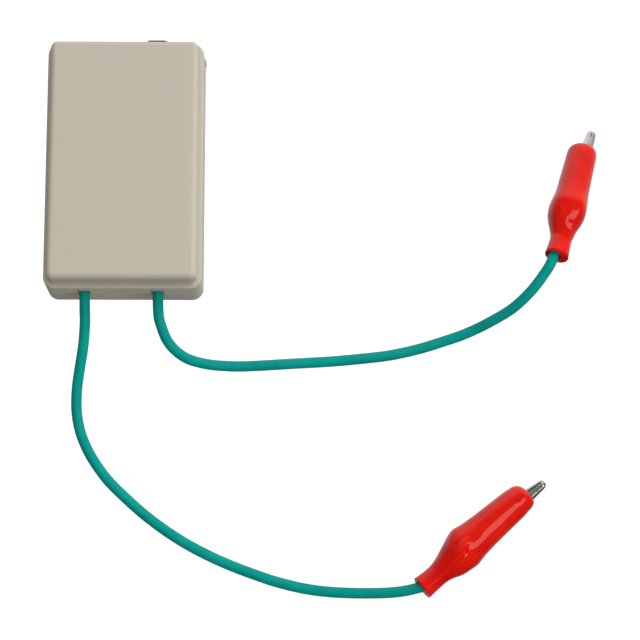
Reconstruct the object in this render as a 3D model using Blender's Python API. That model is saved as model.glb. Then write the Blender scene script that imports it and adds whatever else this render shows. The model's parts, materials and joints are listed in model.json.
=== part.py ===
"""Bench tester in a two-part moulded case with a mini USB socket and two sprung clip leads.

World frame, metres: the origin is the centre of the case underside, +Y runs along the case to the
wall with the socket, +X to the right of it and +Z up. The leads leave the -Y wall and lie on the
same surface as the case, z = 0. Each clip has a frame of its own: u runs back from its nose tip
along its axis, w is its pivot axis and v is the way its moving jaw opens.
"""

import math

import bmesh
import bpy
from mathutils import Matrix, Vector

MM = 0.001

# Case
CASE_LENGTH = 80.6 * MM
CASE_WIDTH = 50.0 * MM
CASE_HEIGHT = 26.0 * MM
CASE_CORNER = 3.6 * MM
WALL = 1.8 * MM
FLOOR = 1.8 * MM
FOOT_EDGE = 1.0 * MM
PARTING_HEIGHT = 17.2 * MM
PARTING_GAP = 0.3 * MM
LEDGE_TOP = 18.3 * MM
LEDGE_EDGE = 0.85 * MM
LEDGE_WIDTH = 1.48 * MM
LID_EDGE = 1.9 * MM
LID_TOP = 2.0 * MM
TONGUE_DEPTH = 3.0 * MM
TONGUE_WALL = 1.2 * MM

# Openings in the base
SLOT_WIDTH = 3.8 * MM
SLOT_BOTTOM = 9.4 * MM
SLOT_A_INSET = 14.1 * MM
SLOT_B_INSET = 12.7 * MM
WINDOW_WIDTH = 8.3 * MM
WINDOW_BOTTOM = 9.5 * MM
WINDOW_TOP = 14.1 * MM
LUG_RADIUS = 1.05 * MM
LUG_PROUD = 0.5 * MM
LUG_BOTTOM = 6.0 * MM
LUG_TOP = 12.0 * MM
LUG_FROM_END = 3.55 * MM

# Fixings
SEAT = 0.3 * MM
CASE_SCREW_INSET_X = 5.2 * MM
CASE_SCREW_INSET_Y = 5.3 * MM
CASE_SCREW_SHANK = 1.5 * MM
CASE_SCREW_HEAD = 2.6 * MM
CASE_SCREW_HEAD_HEIGHT = 1.8 * MM
CASE_SCREW_TOP = 15.0 * MM
COUNTERBORE_DEPTH = 2.6 * MM
BOSS_WALL = 0.9 * MM
BOSS_TOP = 5.7 * MM
POST_RADIUS = 3.0 * MM
POST_HOLE_TOP = 16.0 * MM

# Circuit board
BOARD_SIDE_GAP = 1.2 * MM
BOARD_END_GAP = 2.5 * MM
BOARD_THICK = 1.6 * MM
BOARD_TOP = 9.5 * MM
STANDOFF_RADIUS = 2.3 * MM
STANDOFF_INSET_X = 5.5 * MM
STANDOFF_INSET_Y = 12.0 * MM
BOARD_SCREW_SHANK = 0.8 * MM
BOARD_SCREW_HEAD = 1.8 * MM
BOARD_SCREW_HEAD_HEIGHT = 1.3 * MM

# Socket
SOCKET_INSET = 15.4 * MM
SOCKET_WIDTH = 7.7 * MM
SOCKET_TOP_WIDTH = 5.8 * MM
SOCKET_HEIGHT = 3.95 * MM
SOCKET_SKIN = 0.4 * MM
SOCKET_PROUD = 2.6 * MM
SOCKET_LENGTH = 9.2 * MM
CONTACT_PITCH = 0.8 * MM
CONTACT_WIDTH = 0.4 * MM
CONTACT_THICK = 0.2 * MM

# Middle lines across the case: each notch and the socket, from the side wall that it is nearer to
SLOT_A_X = CASE_WIDTH / 2 - SLOT_A_INSET
SLOT_B_X = SLOT_B_INSET - CASE_WIDTH / 2
SOCKET_X = CASE_WIDTH / 2 - SOCKET_INSET

# Leads
LEAD_RADIUS = 1.7 * MM
LEAD_CORE = 0.5 * MM
LEAD_STEP = 2.3 * 2 * LEAD_RADIUS
LEAD_IN_CASE = 11.2 * MM
STOP_RADIUS = 2.6 * MM
STOP_LENGTH = 1.5 * MM
CORE_PAD_Y = -29.0 * MM

# Metal clip, shared by both leads
JAW_SHEET = 0.5 * MM
TIP_HALF = 1.0 * MM
NOSE_HALF = 1.4 * MM
JAW_HALF = 1.95 * MM
INNER_EAR_HALF = 2.0 * MM
OUTER_EAR_HALF = 2.8 * MM
HANDLE_HALF = 2.4 * MM
TIP_DEPTH = 0.9 * MM
NOSE_DEPTH = 1.5 * MM
JAW_DEPTH = 2.75 * MM
PIVOT_DEPTH = 3.3 * MM
HANDLE_SPREAD = 5.3 * MM
HANDLE_RIM = 3.9 * MM
JAW_GAP = 0.15 * MM
TOOTH_FIRST = 1.5 * MM
TOOTH_LAST = 11.5 * MM
TOOTH_PITCH = 1.0 * MM
TOOTH_DEPTH = 0.4 * MM
PIVOT_U = 17.0 * MM
HANDLE_END = 31.5 * MM
EAR_RADIUS = 1.75 * MM
EAR_HOLE = 1.15 * MM
RIVET_RADIUS = 0.85 * MM
RIVET_HEAD = 1.5 * MM
RIVET_HEAD_HEIGHT = 0.4 * MM
RIVET_GAP = 0.15 * MM
SPRING_WIRE = 0.25 * MM
SPRING_COIL = 1.4 * MM
SPRING_HALF = 0.8 * MM
SPRING_ARM_U = 10.0 * MM
SPRING_ARM_V = 3.45 * MM
SPRING_TURNS = 2
LEAD_END_U = 36.0 * MM
CRIMP_V = -4.1 * MM

# Soft boots
BOOT_WALL = 0.9 * MM
BOOT_DOME = 3.2 * MM
BOOT_OPENING = 2.3 * MM
REST_GAP = 0.2 * MM
# Outline of a boot behind its dome: share of its span, 1 at the tail, and half size in millimetres in
# the opening plane and across it
BOOT_HIGH = ((0.035, 4.35), (0.12, 5.0), (0.39, 5.65), (0.50, 6.1), (0.586, 6.85), (0.64, 6.35),
             (0.72, 5.4), (0.76, 4.62), (0.80, 4.0), (0.85, 3.55), (0.92, 3.6), (1.0, 3.85))
BOOT_WIDE = ((0.035, 4.35), (0.12, 4.9), (0.30, 5.1), (0.45, 5.3), (0.57, 5.95), (0.62, 6.1),
             (0.68, 5.75), (0.78, 4.25), (0.85, 3.45), (0.92, 3.6), (1.0, 3.85))
BOOT_STATIONS = (0.14, 0.25, 0.39, 0.50, 0.55, 0.586, 0.62, 0.66, 0.72, 0.78, 0.82, 0.86, 0.93, 1.0)

# Where each clip lies: nose tip in plan, heading of the nose, tail lift and roll about the axis, and
# its boot: front, tail and the span that its outline is a share of
CLIP_A_NOSE = (151.3 * MM, 16.0 * MM)
CLIP_A_HEADING = 71.5
CLIP_A_LIFT = 15.5
CLIP_A_ROLL = 0.0
CLIP_A_BOOT = (6.9 * MM, 48.8 * MM, 43.8 * MM)
CLIP_B_NOSE = (133.3 * MM, -99.6 * MM)
CLIP_B_HEADING = 39.0
CLIP_B_LIFT = 2.75
CLIP_B_ROLL = -90.0
CLIP_B_BOOT = (6.6 * MM, 51.8 * MM, 45.4 * MM)
# How far the middle of each boot stands off the clip's axis, in millimetres, along its length, and
# the direction it does so: a turn about the axis from the pivot axis
BOOT_A_DRIFT = ((0.05, -1.05), (0.36, -0.4), (0.50, -0.05), (0.74, 0.0), (0.845, 0.74), (1.0, 0.98))
BOOT_A_SIDE = 0.0
BOOT_B_DRIFT = ((0.05, -0.8), (0.20, -0.6), (0.586, 0.03), (0.72, 1.05), (0.80, 1.05), (0.87, 1.42),
                (1.0, 1.5))
BOOT_B_SIDE = 90.0
# Last points of each lead before its crimp: how far behind the boot's tail, and how far off the
# middle of the boot, the same way
LEAD_A_TAIL = ((3.0 * MM, -1.05 * MM), (-3.0 * MM, -0.8 * MM), (-6.4 * MM, -0.4 * MM))
LEAD_B_TAIL = ((1.0 * MM, -0.95 * MM), (-2.8 * MM, 0.45 * MM), (-7.9 * MM, 0.1 * MM))

# Hand-chosen route points of each lead outside the case, millimetres; those of a start count x from
# the middle of the notch
LEAD_A_START = ((0.2, -46.4, 10.9), (0.8, -49.8, 10.3))
LEAD_A_ROUTE = (
    (14.4, -55.9, 8.5), (19.5, -60.1, 6.1), (26.1, -61.75, 3.8), (33.0, -62.15, 2.3),
    (40.0, -62.05, 1.85), (54.1, -61.2, 1.85), (67.5, -60.35, 1.85), (81.5, -58.9, 1.85),
    (88.4, -57.7, 1.85), (95.3, -56.0, 1.9), (102.1, -53.9, 2.4), (108.7, -51.8, 3.8),
    (115.4, -49.05, 6.4), (122.3, -45.6, 10.1), (126.1, -42.8, 12.2), (129.6, -39.4, 13.9),
    (132.6, -35.6, 15.2),
)
LEAD_B_START = ((0.1, -46.4, 10.9), (0.2, -49.9, 10.5))
LEAD_B_ROUTE = (
    (-12.6, -56.7, 8.9), (-13.7, -63.3, 6.8), (-14.7, -69.9, 4.6), (-14.85, -76.7, 2.8),
    (-13.6, -83.4, 1.9), (-10.85, -89.85, 1.85), (-7.0, -95.8, 1.85), (-2.45, -101.1, 1.85),
    (7.9, -110.4, 1.85), (19.3, -118.3, 1.85), (31.7, -124.6, 1.85), (44.6, -129.5, 1.85),
    (51.8, -131.65, 1.9), (58.6, -133.15, 2.1), (65.4, -134.05, 2.8), (72.3, -134.5, 3.9),
    (79.0, -134.65, 5.3), (84.3, -134.55, 6.2), (88.9, -134.05, 6.8),
)

PARTS = "usb_tester"
CUTTERS = "cutters"

ABS = ("abs_grey", (0.60, 0.59, 0.53, 1.0), 0.55, 0.0)
BOARD = ("board_green", (0.02, 0.16, 0.07, 1.0), 0.45, 0.0)
NICKEL = ("nickel_plate", (0.72, 0.71, 0.68, 1.0), 0.18, 1.0)
STEEL = ("zinc_steel", (0.55, 0.55, 0.55, 1.0), 0.35, 1.0)
CHIP = ("chip_black", (0.02, 0.02, 0.02, 1.0), 0.5, 0.0)
GOLD = ("contact_gold", (0.83, 0.62, 0.25, 1.0), 0.25, 1.0)
COPPER = ("tinned_copper", (0.72, 0.60, 0.50, 1.0), 0.35, 1.0)
CERAMIC = ("ceramic_tan", (0.62, 0.55, 0.42, 1.0), 0.6, 0.0)
TEAL = ("lead_teal", (0.0, 0.21, 0.18, 1.0), 0.4, 0.0)
RED = ("boot_red", (0.66, 0.02, 0.01, 1.0), 0.3, 0.0)
NYLON = ("stop_nylon", (0.05, 0.05, 0.05, 1.0), 0.5, 0.0)


def clear_scene():
    """Removes every object that the file opened with and makes the two collections."""
    for obj in list(bpy.data.objects):
        bpy.data.objects.remove(obj, do_unlink=True)
    for name in (PARTS, CUTTERS):
        group = bpy.data.collections.new(name)
        bpy.context.scene.collection.children.link(group)


def make_material(finish, name):
    """Returns a plain material of its own for one object."""
    label, colour, roughness, metallic = finish
    mat = bpy.data.materials.new(f"{label}_{name}")
    mat.use_nodes = True
    shader = mat.node_tree.nodes["Principled BSDF"]
    shader.inputs["Base Color"].default_value = colour
    shader.inputs["Roughness"].default_value = roughness
    shader.inputs["Metallic"].default_value = metallic
    return mat


def add_part(name, mesh, finish, matrix=None, smooth=False):
    """Links a mesh as a named piece of the part."""
    mesh.name = name
    obj = bpy.data.objects.new(name, mesh)
    bpy.data.collections[PARTS].objects.link(obj)
    mesh.materials.append(make_material(finish, name))
    for face in mesh.polygons:
        face.use_smooth = smooth
    if matrix is not None:
        obj.matrix_world = matrix
    return obj


def add_cutter(name, mesh, matrix=None):
    """Links a mesh as a hidden helper for a Boolean."""
    obj = bpy.data.objects.new(name, mesh)
    bpy.data.collections[CUTTERS].objects.link(obj)
    obj.hide_render = True
    obj.display_type = "WIRE"
    if matrix is not None:
        obj.matrix_world = matrix
    return obj


def boolean(obj, helper, operation):
    """Adds one exact Boolean to an object."""
    mod = obj.modifiers.new(f"{operation.lower()}_{helper.name}", "BOOLEAN")
    mod.operation = operation
    mod.solver = "EXACT"
    mod.object = helper


def finish_mesh(bm, name):
    """Closes a bmesh off into a mesh with its faces out."""
    bmesh.ops.remove_doubles(bm, verts=bm.verts, dist=1e-7)
    bmesh.ops.recalc_face_normals(bm, faces=bm.faces)
    mesh = bpy.data.meshes.new(name)
    bm.to_mesh(mesh)
    bm.free()
    return mesh


def merge_meshes(meshes, name):
    """Joins several meshes that do not touch into one."""
    bm = bmesh.new()
    for mesh in meshes:
        bm.from_mesh(mesh)
        bpy.data.meshes.remove(mesh)
    return finish_mesh(bm, name)


def block_mesh(low, high, corner=0.0, bottom=0.0, top=0.0, steps=6, edge_steps=3):
    """Returns a box from corner to corner with rounded upright edges, foot and rim."""
    bm = bmesh.new()
    size = Vector(high) - Vector(low)
    centre = (Vector(high) + Vector(low)) / 2
    bmesh.ops.create_cube(bm, size=1.0, matrix=Matrix.Translation(centre) @ Matrix.Diagonal((*size, 1.0)))
    if corner > 0:
        upright = [e for e in bm.edges if abs(e.verts[0].co.z - e.verts[1].co.z) > size.z / 2]
        bmesh.ops.bevel(bm, geom=upright, offset=corner, segments=steps, profile=0.5, affect="EDGES",
                        material=-1)
    for radius, level in ((bottom, low[2]), (top, high[2])):
        if radius > 0:
            rim = [e for e in bm.edges if all(abs(v.co.z - level) < 1e-6 for v in e.verts)]
            bmesh.ops.bevel(bm, geom=rim, offset=radius, segments=edge_steps, profile=0.5,
                            affect="EDGES", material=-1)
    return finish_mesh(bm, "block")


def round_mesh(radius, low, high, centre=(0.0, 0.0), steps=24, edge=0.0, axis="Z"):
    """Returns a cylinder with an optional rounding of both rims."""
    bm = bmesh.new()
    at = Matrix.Translation((centre[0], centre[1], (low + high) / 2))
    if axis == "Y":
        at = Matrix.Translation((centre[0], (low + high) / 2, centre[1]))
        at = at @ Matrix.Rotation(math.pi / 2, 4, "X")
    bmesh.ops.create_cone(bm, cap_ends=True, cap_tris=False, segments=steps, radius1=radius,
                          radius2=radius, depth=high - low, matrix=at)
    if edge > 0:
        rim = [e for e in bm.edges if any(len(f.verts) == steps for f in e.link_faces)]
        bmesh.ops.bevel(bm, geom=rim, offset=edge, segments=2, profile=0.5, affect="EDGES", material=-1)
    return finish_mesh(bm, "round")


def curve_mesh(points, radius, resolution):
    """Returns a closed tube along a line of points."""
    data = bpy.data.curves.new("path", "CURVE")
    data.dimensions = "3D"
    data.bevel_depth = radius
    data.bevel_resolution = resolution
    data.use_fill_caps = True
    spline = data.splines.new("POLY")
    spline.points.add(len(points) - 1)
    for point, co in zip(spline.points, points):
        point.co = (*co, 1.0)
    return curve_to_mesh(data)


def curve_to_mesh(data):
    """Turns a curve into a welded mesh."""
    holder = bpy.data.objects.new("path", data)
    bpy.context.scene.collection.objects.link(holder)
    graph = bpy.context.evaluated_depsgraph_get()
    mesh = bpy.data.meshes.new_from_object(holder.evaluated_get(graph))
    bpy.data.objects.remove(holder, do_unlink=True)
    bm = bmesh.new()
    bm.from_mesh(mesh)
    bpy.data.meshes.remove(mesh)
    return finish_mesh(bm, "tube")


def prism_mesh(outline, low, high):
    """Returns an outline in X and Z drawn out along Y."""
    data = bpy.data.curves.new("outline", "CURVE")
    data.dimensions = "2D"
    data.fill_mode = "BOTH"
    data.extrude = (high - low) / 2
    spline = data.splines.new("POLY")
    spline.points.add(len(outline) - 1)
    for point, (x, z) in zip(spline.points, outline):
        point.co = (x, z, 0.0, 1.0)
    spline.use_cyclic_u = True
    mesh = curve_to_mesh(data)
    mesh.transform(Matrix.Translation((0.0, (low + high) / 2, 0.0)) @ Matrix.Rotation(math.pi / 2, 4, "X"))
    return mesh


def rounded_outline(corners, radius, steps=3):
    """Returns a polygon with each corner rounded off."""
    outline = []
    count = len(corners)
    for i, corner in enumerate(corners):
        here = Vector(corner)
        back = (Vector(corners[i - 1]) - here).normalized()
        ahead = (Vector(corners[(i + 1) % count]) - here).normalized()
        half = back.angle(ahead) / 2
        reach = radius / math.tan(half)
        middle = here + (back + ahead).normalized() * radius / math.sin(half)
        first = here + back * reach - middle
        last = here + ahead * reach - middle
        for k in range(steps + 1):
            arm = first.lerp(last, k / steps).normalized() * radius
            outline.append(tuple(middle + arm))
    return outline


def loft_mesh(rings, closed=False):
    """Skins a run of unlike sections; capped at both ends, or joined into a ring."""
    bm = bmesh.new()
    rows = [[bm.verts.new(co) for co in ring] for ring in rings]
    pairs = list(zip(rows, rows[1:]))
    if closed:
        pairs.append((rows[-1], rows[0]))
    for one, two in pairs:
        for i in range(len(one)):
            j = (i + 1) % len(one)
            bm.faces.new((one[i], one[j], two[j], two[i]))
    if not closed:
        bm.faces.new(rows[0])
        bm.faces.new(rows[-1])
    return finish_mesh(bm, "loft")


def ramp(x, knots):
    """Reads a line through knots of (x, value), held flat beyond its ends."""
    if x <= knots[0][0]:
        return knots[0][1]
    for (x0, y0), (x1, y1) in zip(knots, knots[1:]):
        if x <= x1:
            return y0 + (y1 - y0) * (x - x0) / (x1 - x0)
    return knots[-1][1]


def smooth_path(route, step):
    """Reads a smooth curve through route points at an even step."""
    knots = [Vector(p) for p in route]
    knots = [knots[0] * 2 - knots[1], *knots, knots[-1] * 2 - knots[-2]]
    fine = []
    for a, b, c, d in zip(knots, knots[1:], knots[2:], knots[3:]):
        for k in range(16):
            t = k / 16
            fine.append(0.5 * ((2 * b) + (c - a) * t + (2 * a - 5 * b + 4 * c - d) * t * t
                               + (3 * b - a - 3 * c + d) * t ** 3))
    fine.append(knots[-2])
    total = sum((q - p).length for p, q in zip(fine, fine[1:]))
    count = max(2, math.ceil(total / step))
    points = [fine[0]]
    walked = 0.0
    for p, q in zip(fine, fine[1:]):
        span = (q - p).length
        while span > 0 and walked + span >= total * len(points) / count and len(points) < count:
            points.append(p.lerp(q, (total * len(points) / count - walked) / span))
        walked += span
    points.append(fine[-1])
    return points


class Clip:
    """One sprung clip: its own frame, the metal pieces, the boot and the end of its lead."""

    def __init__(self, name, nose, heading, lift, roll, boot, drift, side):
        """Places the clip so that its boot rests just above the surface."""
        self.name = name
        self.boot = boot
        self.drift = drift
        self.side = math.radians(side)
        turn = (Matrix.Rotation(math.radians(heading + 180.0), 4, "Z")
                @ Matrix.Rotation(math.radians(-lift), 4, "Y")
                @ Matrix.Rotation(math.radians(roll), 4, "X"))
        lowest = min((turn @ Vector(p)).z for ring in self.boot_rings() for p in ring)
        self.matrix = Matrix.Translation((nose[0], nose[1], REST_GAP - lowest)) @ turn
        self.pivot = self.matrix @ Matrix.Translation((PIVOT_U, 0.0, 0.0))

    def at(self, u, w=0.0, v=0.0):
        """Returns a world point from clip coordinates."""
        return self.matrix @ Vector((u, w, v))

    def half_width(self, u, fixed):
        """Returns the outer half width of a jaw along its length."""
        ear = OUTER_EAR_HALF if fixed else INNER_EAR_HALF
        return ramp(u, ((0.0, TIP_HALF), (0.5 * MM, NOSE_HALF - 0.13 * MM), (1.0 * MM, NOSE_HALF),
                        (6.4 * MM, JAW_HALF - 0.1 * MM), (PIVOT_U - 4.5 * MM, JAW_HALF),
                        (PIVOT_U - 3.0 * MM, ear), (PIVOT_U + 3.5 * MM, ear), (HANDLE_END, HANDLE_HALF)))

    def depth(self, u):
        """Returns how far the back of a jaw stands off the axis."""
        return ramp(u, ((0.0, TIP_DEPTH), (0.5 * MM, (TIP_DEPTH + NOSE_DEPTH) / 2 + 0.1 * MM),
                        (1.0 * MM, NOSE_DEPTH), (PIVOT_U - 5.0 * MM, JAW_DEPTH),
                        (PIVOT_U - 2.0 * MM, PIVOT_DEPTH - 0.1 * MM), (PIVOT_U + 3.0 * MM, PIVOT_DEPTH),
                        (HANDLE_END, HANDLE_SPREAD)))

    def rim(self, u):
        """Returns how far the open side of a jaw stands off the axis behind its teeth."""
        return ramp(u, ((PIVOT_U - 4.5 * MM, JAW_GAP), (PIVOT_U - 3.5 * MM, 0.3 * MM),
                        (PIVOT_U + 2.0 * MM, 0.3 * MM), (HANDLE_END, HANDLE_RIM)))

    def shoulder(self, u):
        """Returns where the straight sides of a jaw turn over into its round back."""
        straight = ramp(u, ((PIVOT_U - 6.0 * MM, 0.35), (PIVOT_U - 3.0 * MM, 0.6),
                            (PIVOT_U + 4.0 * MM, 0.6), (HANDLE_END, 0.3)))
        return self.rim(u) + (self.depth(u) - self.rim(u)) * straight

    def section(self, u, half, rim, back, side):
        """Returns one D-shaped section of a jaw; side is 1 for the moving one, -1 for the fixed."""
        shoulder = self.shoulder(u)
        ring = [(u, half, side * rim)]
        for k in range(7):
            turn = math.pi * k / 6
            ring.append((u, half * math.cos(turn), side * (shoulder + (back - shoulder) * math.sin(turn))))
        ring.append((u, -half, side * rim))
        return ring

    def shift(self, ring):
        """Moves a section to the pivot, which is where the jaw objects have their origin."""
        return [(u - PIVOT_U, w, v) for u, w, v in ring]

    def jaw(self, fixed):
        """Builds one stamped jaw with its teeth, ears and handle."""
        side = -1 if fixed else 1
        teeth = round((TOOTH_LAST - TOOTH_FIRST) / (TOOTH_PITCH / 2))
        stations = [(0.0, 0.0), (0.5 * MM, 0.0), (1.0 * MM, 0.0)]
        stations += [(TOOTH_FIRST + k * TOOTH_PITCH / 2, TOOTH_DEPTH * (k % 2)) for k in range(teeth + 1)]
        stations += [(PIVOT_U + d * MM, 0.0) for d in (-4.5, -3.5, -3.0, -2.0, 0.0, 2.0, 3.5, 7.0, 11.0)]
        stations.append((HANDLE_END, 0.0))
        skin = []
        hollow = []
        for u, tooth in stations:
            half = self.half_width(u, fixed)
            skin.append(self.shift(self.section(u, half, self.rim(u) + side * tooth, self.depth(u), side)))
        for u in (0.9, 2.0, 6.4, PIVOT_U / MM - 6.0, PIVOT_U / MM - 4.5, PIVOT_U / MM - 3.0,
                  PIVOT_U / MM - 2.0, PIVOT_U / MM + 3.5, HANDLE_END / MM + 1.0):
            u = u * MM
            half = self.half_width(u, fixed) - JAW_SHEET
            back = self.depth(u) - JAW_SHEET
            hollow.append(self.shift(self.section(u, half, -2.5 * MM, back, side)))
        label = f"{self.name}_{'fixed' if fixed else 'moving'}_jaw"
        obj = add_part(label, loft_mesh(skin), NICKEL, self.pivot)
        boolean(obj, add_cutter(f"{label}_hollow", loft_mesh(hollow), self.pivot), "DIFFERENCE")
        ear = OUTER_EAR_HALF if fixed else INNER_EAR_HALF
        inset = 0.04 * MM
        ears = [round_mesh(EAR_RADIUS, s * (ear - JAW_SHEET / 2) - JAW_SHEET / 2 + inset,
                           s * (ear - JAW_SHEET / 2) + JAW_SHEET / 2 - inset, steps=20, axis="Y")
                for s in (-1, 1)]
        boolean(obj, add_cutter(f"{label}_ears", merge_meshes(ears, "ears"), self.pivot), "UNION")
        bore = round_mesh(EAR_HOLE, -2 * OUTER_EAR_HALF, 2 * OUTER_EAR_HALF, steps=20, axis="Y")
        boolean(obj, add_cutter(f"{label}_bore", bore, self.pivot), "DIFFERENCE")
        if fixed:
            self.crimp(obj, label)
        return obj

    def crimp(self, obj, label):
        """Closes the end of the fixed handle over the bared core."""
        first = HANDLE_END - 2.6 * MM - PIVOT_U
        last = HANDLE_END - 0.8 * MM - PIVOT_U
        half = HANDLE_HALF - 0.04 * MM
        roof = CRIMP_V + LEAD_CORE + SEAT
        band = block_mesh((first, -half, CRIMP_V - 0.2 * MM), (last, half, roof + JAW_SHEET), steps=1)
        boolean(obj, add_cutter(f"{label}_band", band, self.pivot), "UNION")
        gap = HANDLE_HALF - JAW_SHEET
        way = block_mesh((first - MM, -gap, CRIMP_V - LEAD_CORE - 0.25 * MM), (last + 2 * MM, gap, roof))
        boolean(obj, add_cutter(f"{label}_way", way, self.pivot), "DIFFERENCE")

    def rivet(self):
        """Builds the rivet through all four ears."""
        face = OUTER_EAR_HALF + RIVET_GAP
        end = face + RIVET_HEAD_HEIGHT
        dome = RIVET_HEAD_HEIGHT * 0.45
        profile = [(0.0, -end), (RIVET_HEAD * 0.6, -end), (RIVET_HEAD, -end + dome), (RIVET_HEAD, -face),
                   (RIVET_RADIUS, -face), (RIVET_RADIUS, face), (RIVET_HEAD, face),
                   (RIVET_HEAD, end - dome), (RIVET_HEAD * 0.6, end), (0.0, end)]
        bm = bmesh.new()
        verts = [bm.verts.new((x, y, 0.0)) for x, y in profile]
        edges = [bm.edges.new(pair) for pair in zip(verts, verts[1:])]
        bmesh.ops.spin(bm, geom=verts + edges, cent=(0.0, 0.0, 0.0), axis=(0.0, 1.0, 0.0),
                       angle=2 * math.pi, steps=16, use_merge=True)
        return add_part(f"{self.name}_rivet", finish_mesh(bm, "rivet"), NICKEL, self.pivot, True)

    def spring(self):
        """Builds the torsion spring around the rivet with one arm along each handle."""
        lean = math.atan2(SPRING_ARM_V - SPRING_COIL, SPRING_ARM_U)
        start = math.pi / 2 + lean
        sweep = 2 * math.pi * SPRING_TURNS + 2 * (math.pi - start)
        points = [Vector((SPRING_ARM_U, SPRING_HALF * 0.4, SPRING_ARM_V))]
        count = 12 * SPRING_TURNS + 6
        for k in range(count + 1):
            turn = start + sweep * k / count
            w = SPRING_HALF - 2 * SPRING_HALF * k / count
            points.append(Vector((SPRING_COIL * math.cos(turn), w, SPRING_COIL * math.sin(turn))))
        points.append(Vector((SPRING_ARM_U, -SPRING_HALF * 0.4, -SPRING_ARM_V)))
        return add_part(f"{self.name}_spring", curve_mesh(points, SPRING_WIRE, 1), STEEL, self.pivot, True)

    def core(self):
        """Builds the bared end of the lead, down into the crimp on the fixed handle."""
        end = LEAD_END_U - 0.3 * MM
        knots = [(end, 0.0), (end - 0.7 * MM, -0.9 * MM), (end - 1.6 * MM, -2.6 * MM),
                 (end - 3.2 * MM, CRIMP_V + 0.15 * MM), (end - 4.6 * MM, CRIMP_V), (end - 7.0 * MM, CRIMP_V)]
        route = [self.at(u, 0.0, v) for u, v in knots]
        mesh = curve_mesh(smooth_path(route, 0.8 * MM), LEAD_CORE, 1)
        return add_part(f"{self.name}_core", mesh, COPPER, None, True)

    def share(self, u):
        """Returns how far along the boot's outline a place on the axis lies; the tail is 1."""
        front, tail, span = self.boot
        return 1.0 - (tail - u) / span

    def boot_size(self, u):
        """Returns the outer half sizes of the boot, in the opening plane and across it."""
        share = self.share(u)
        return ramp(share, BOOT_HIGH) * MM, ramp(share, BOOT_WIDE) * MM

    def middle(self, u, extra=0.0):
        """Returns where the middle of the boot lies across and up from the clip's axis."""
        off = ramp(self.share(u), self.drift) * MM + extra
        return off * math.cos(self.side), off * math.sin(self.side)

    def boot_ring(self, u, high, wide, grow=1.0):
        """Returns one oval section of the boot; grow brings its middle back to the clip's axis."""
        across, up = self.middle(u)
        ring = []
        for k in range(18):
            turn = 2 * math.pi * k / 18
            ring.append((u, across * grow + wide * math.cos(turn), up * grow + high * math.sin(turn)))
        return ring

    def boot_rings(self):
        """Returns the sections of the boot, out along its skin and back along its inside."""
        front, tail, span = self.boot
        full = self.boot_size(front + BOOT_DOME)
        rings = []
        for k in range(5):
            turn = math.pi / 2 * k / 4
            grow = math.sin(turn)
            high, wide = (BOOT_OPENING + (size - BOOT_OPENING) * grow for size in full)
            rings.append(self.boot_ring(front + BOOT_DOME * (1 - math.cos(turn)), high, wide, grow))
        outer = [tail - span * (1.0 - share) for share in BOOT_STATIONS]
        for u in outer:
            high, wide = self.boot_size(u)
            rings.append(self.boot_ring(u, high, wide))
        for u in reversed(outer):
            high, wide = self.boot_size(u)
            rings.append(self.boot_ring(u, high - BOOT_WALL, wide - BOOT_WALL))
        for along, grow in ((BOOT_DOME + 0.8 * MM, 1.0), (BOOT_WALL, 0.35)):
            high, wide = (BOOT_OPENING + (size - BOOT_WALL - BOOT_OPENING) * grow for size in full)
            rings.append(self.boot_ring(front + along, high, wide, grow))
        return rings

    def sleeve(self):
        """Builds the soft boot over the handles and the end of the lead."""
        mesh = loft_mesh(self.boot_rings(), closed=True)
        return add_part(f"{self.name}_boot", mesh, RED, self.matrix, True)

    def build(self):
        """Builds every piece of the clip."""
        self.jaw(True)
        self.jaw(False)
        self.rivet()
        self.spring()
        self.core()
        self.sleeve()


def board_half():
    """Returns half the width and half the length of the circuit board."""
    return CASE_WIDTH / 2 - WALL - BOARD_SIDE_GAP, CASE_LENGTH / 2 - WALL - BOARD_END_GAP


def standoff_at(sx, sy):
    """Returns where one standoff is, for the signs of its two sides."""
    hx, hy = board_half()
    return sx * (hx - STANDOFF_INSET_X), sy * (hy - STANDOFF_INSET_Y)


def post_places():
    """Returns the four case screw places in plan."""
    x = CASE_WIDTH / 2 - CASE_SCREW_INSET_X
    y = CASE_LENGTH / 2 - CASE_SCREW_INSET_Y
    return [(-x, -y), (x, -y), (-x, y), (x, y)]


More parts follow.
